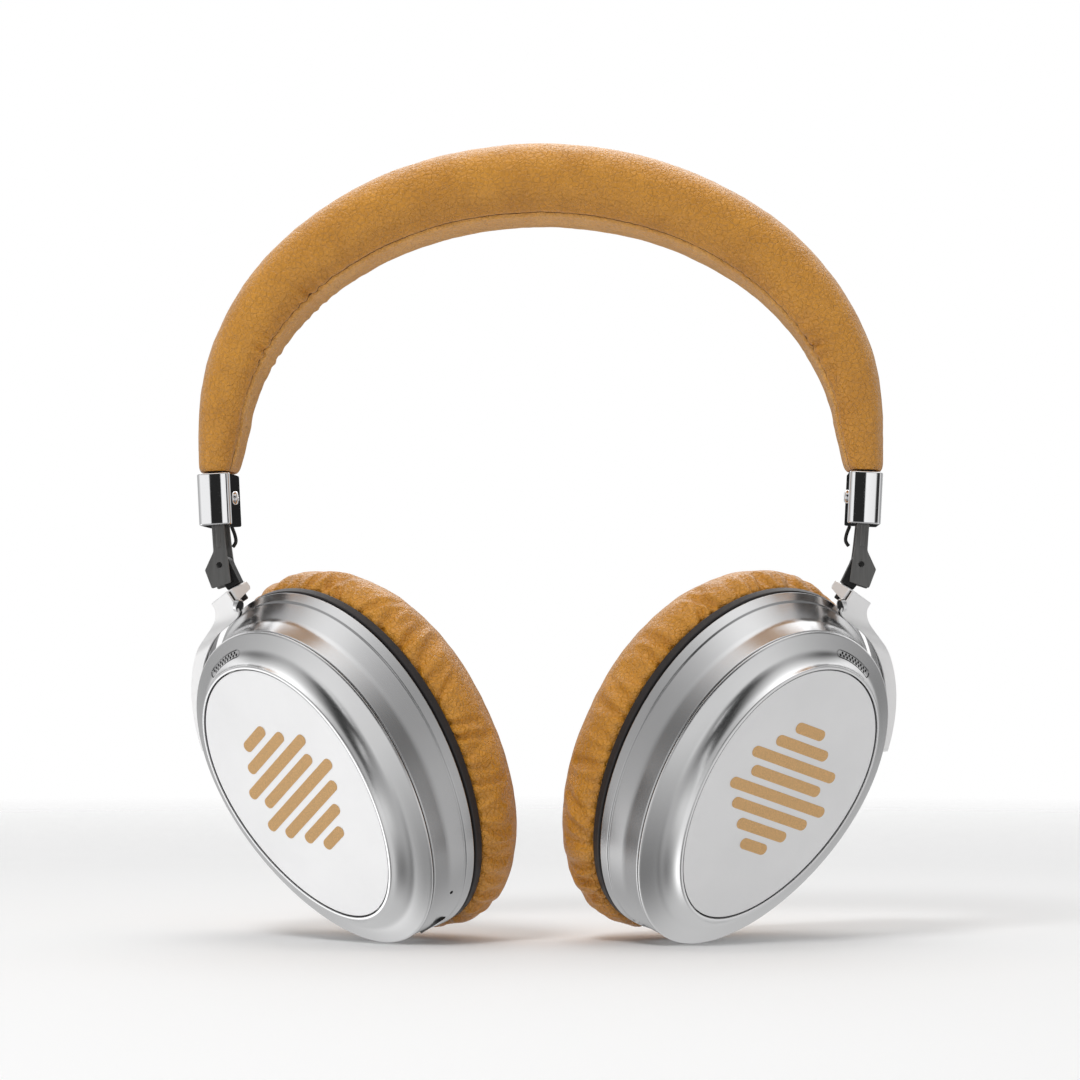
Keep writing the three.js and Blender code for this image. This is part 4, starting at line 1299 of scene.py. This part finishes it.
DIFFUSE_WORLD = 0.52
REFLECTED_BASE = 0.62
REFLECTED = [  # azimuth from the camera's side, elevation, spread, change of brightness
    (0, 14, 27, -0.66), (23, 13, 15, -0.45), (-23, 13, 15, -0.45), (33, -52, 20, -0.45),
    (-33, -52, 20, -0.45), (90, 30, 26, -0.6), (-90, 30, 26, -0.5), (114, -14, 22, -0.4),
    (-114, -14, 22, -0.3), (123, 24, 18, 0.5), (-123, 24, 18, 0.5), (-83, -36, 20, 1.15),
    (83, -36, 20, 0.22), (-30, -19, 10, 0.25), (30, -19, 10, 0.25), (52, -8, 12, 0.25),
    (-52, -8, 12, 0.25), (0, 84, 30, 0.9), (180, 38, 22, 2.6), (172, 2, 14, -0.95), (-177, 2, 14, -0.95),
]
CHROME_BANDS = [  # azimuth and brightness at the horizon, as the end sleeves mirror it
    (-60, 0.9), (-13.5, 0.9), (-12.5, 0.02), (2, 0.02), (3, 0.95), (16, 0.85), (17.5, 0.03), (45, 0.03),
]
STRIP = {"span": 120, "reach": 45, "middle": 0.048, "half": 0.066, "edge": 0.01}  # degrees, then heights


class Environment(Nodes):
    """What mirrored rays see: a soft grey room made of round lobes and one banded strip."""

    def __init__(self, tree):
        super().__init__(tree)
        self.direction = self.nodes.new("ShaderNodeTexCoord").outputs["Generated"]

    def lobe(self, azimuth, elevation, spread, level):
        a, e = math.radians(azimuth), math.radians(elevation)
        node = self.nodes.new("ShaderNodeVectorMath")
        node.operation = "DOT_PRODUCT"
        node.inputs[1].default_value = (math.sin(a) * math.cos(e), -math.cos(a) * math.cos(e), math.sin(e))
        self.links.new(self.direction, node.inputs[0])
        sharpness = 2 / math.radians(spread) ** 2
        fall = self.math("EXPONENT", self.math("MULTIPLY_ADD", node.outputs["Value"], sharpness, -sharpness))
        return self.math("MULTIPLY", fall, level)

    def strip(self):
        """The banded strip's brightness, and how much it covers."""
        split = self.nodes.new("ShaderNodeSeparateXYZ")
        self.links.new(self.direction, split.inputs[0])
        x, y, z = (split.outputs[k] for k in "XYZ")
        azimuth = self.math("ARCTAN2", x, self.math("MULTIPLY", y, -1.0))
        share = self.math("MULTIPLY_ADD", azimuth, 180 / math.pi / STRIP["span"], 0.5)
        bands = self.ramp(share, [(0.5 + degrees / STRIP["span"], level) for degrees, level in CHROME_BANDS])
        distance = self.math("ABSOLUTE", self.math("SUBTRACT", z, STRIP["middle"]))
        inside = self.math("MULTIPLY_ADD", distance, -1 / STRIP["edge"], STRIP["half"] / STRIP["edge"])
        ahead = self.math("LESS_THAN", self.math("ABSOLUTE", azimuth), math.radians(STRIP["reach"]))
        cover = self.math("MULTIPLY", self.math("MINIMUM", self.math("MAXIMUM", inside, 0.0), 1.0), ahead)
        return bands, cover

    def colour(self):
        level = REFLECTED_BASE
        for lobe in REFLECTED:
            level = self.math("ADD", self.lobe(*lobe), level)
        level = self.math("MAXIMUM", level, 0.015)
        strip, cover = self.strip()
        return self.mixed(cover, level, strip)


def build_world():
    """White to the camera, even and soft to the lighting, and a designed room to mirrored rays."""
    world = bpy.data.worlds.new("studio")
    bpy.context.scene.world = world
    world.use_nodes = True
    world.node_tree.nodes.clear()
    room = Environment(world.node_tree)
    path = room.nodes.new("ShaderNodeLightPath")
    seen = room.mixed(path.outputs["Is Glossy Ray"], (*[DIFFUSE_WORLD] * 3, 1), room.colour())
    seen = room.mixed(path.outputs["Is Camera Ray"], seen, (1, 1, 1, 1))
    background = room.nodes.new("ShaderNodeBackground")
    room.links.new(seen, background.inputs["Color"])
    output = room.nodes.new("ShaderNodeOutputWorld")
    room.links.new(background.outputs["Background"], output.inputs["Surface"])


def build_camera():
    azimuth, elevation = math.radians(CAMERA["azimuth"]), math.radians(CAMERA["elevation"])
    level_part = math.cos(elevation)
    back = Vector((math.sin(azimuth) * level_part, -math.cos(azimuth) * level_part, math.sin(elevation)))
    data = bpy.data.cameras.new("camera")
    data.lens, data.sensor_width = CAMERA["lens"], 36
    camera = bpy.data.objects.new("camera", data)
    camera.location = Vector(CAMERA["target"]) + back * CAMERA["distance"]
    camera.rotation_mode = "QUATERNION"
    camera.rotation_quaternion = (-back).to_track_quat("-Z", "Y")
    bpy.context.scene.collection.objects.link(camera)
    bpy.context.scene.camera = camera


def build_studio():
    build_floor()
    build_world()
    for name, (place, size, power_watts) in LIGHTS.items():
        area_light(name, place, size, power_watts)
    build_camera()
    bpy.context.scene.view_settings.view_transform = "Standard"


build_headband()
for side in SIDES:
    place, body = FRAMES[side]["cup"], f"{side}_cup"
    build_sleeve(side)
    build_slider(side)
    build_knuckle(side)
    build_yoke(side)
    build_dome(side, place, body)
    build_base(side, place, body)
    build_gasket(side, place, body)
    build_cushion(side, place, body)
dress_frame()
build_studio()
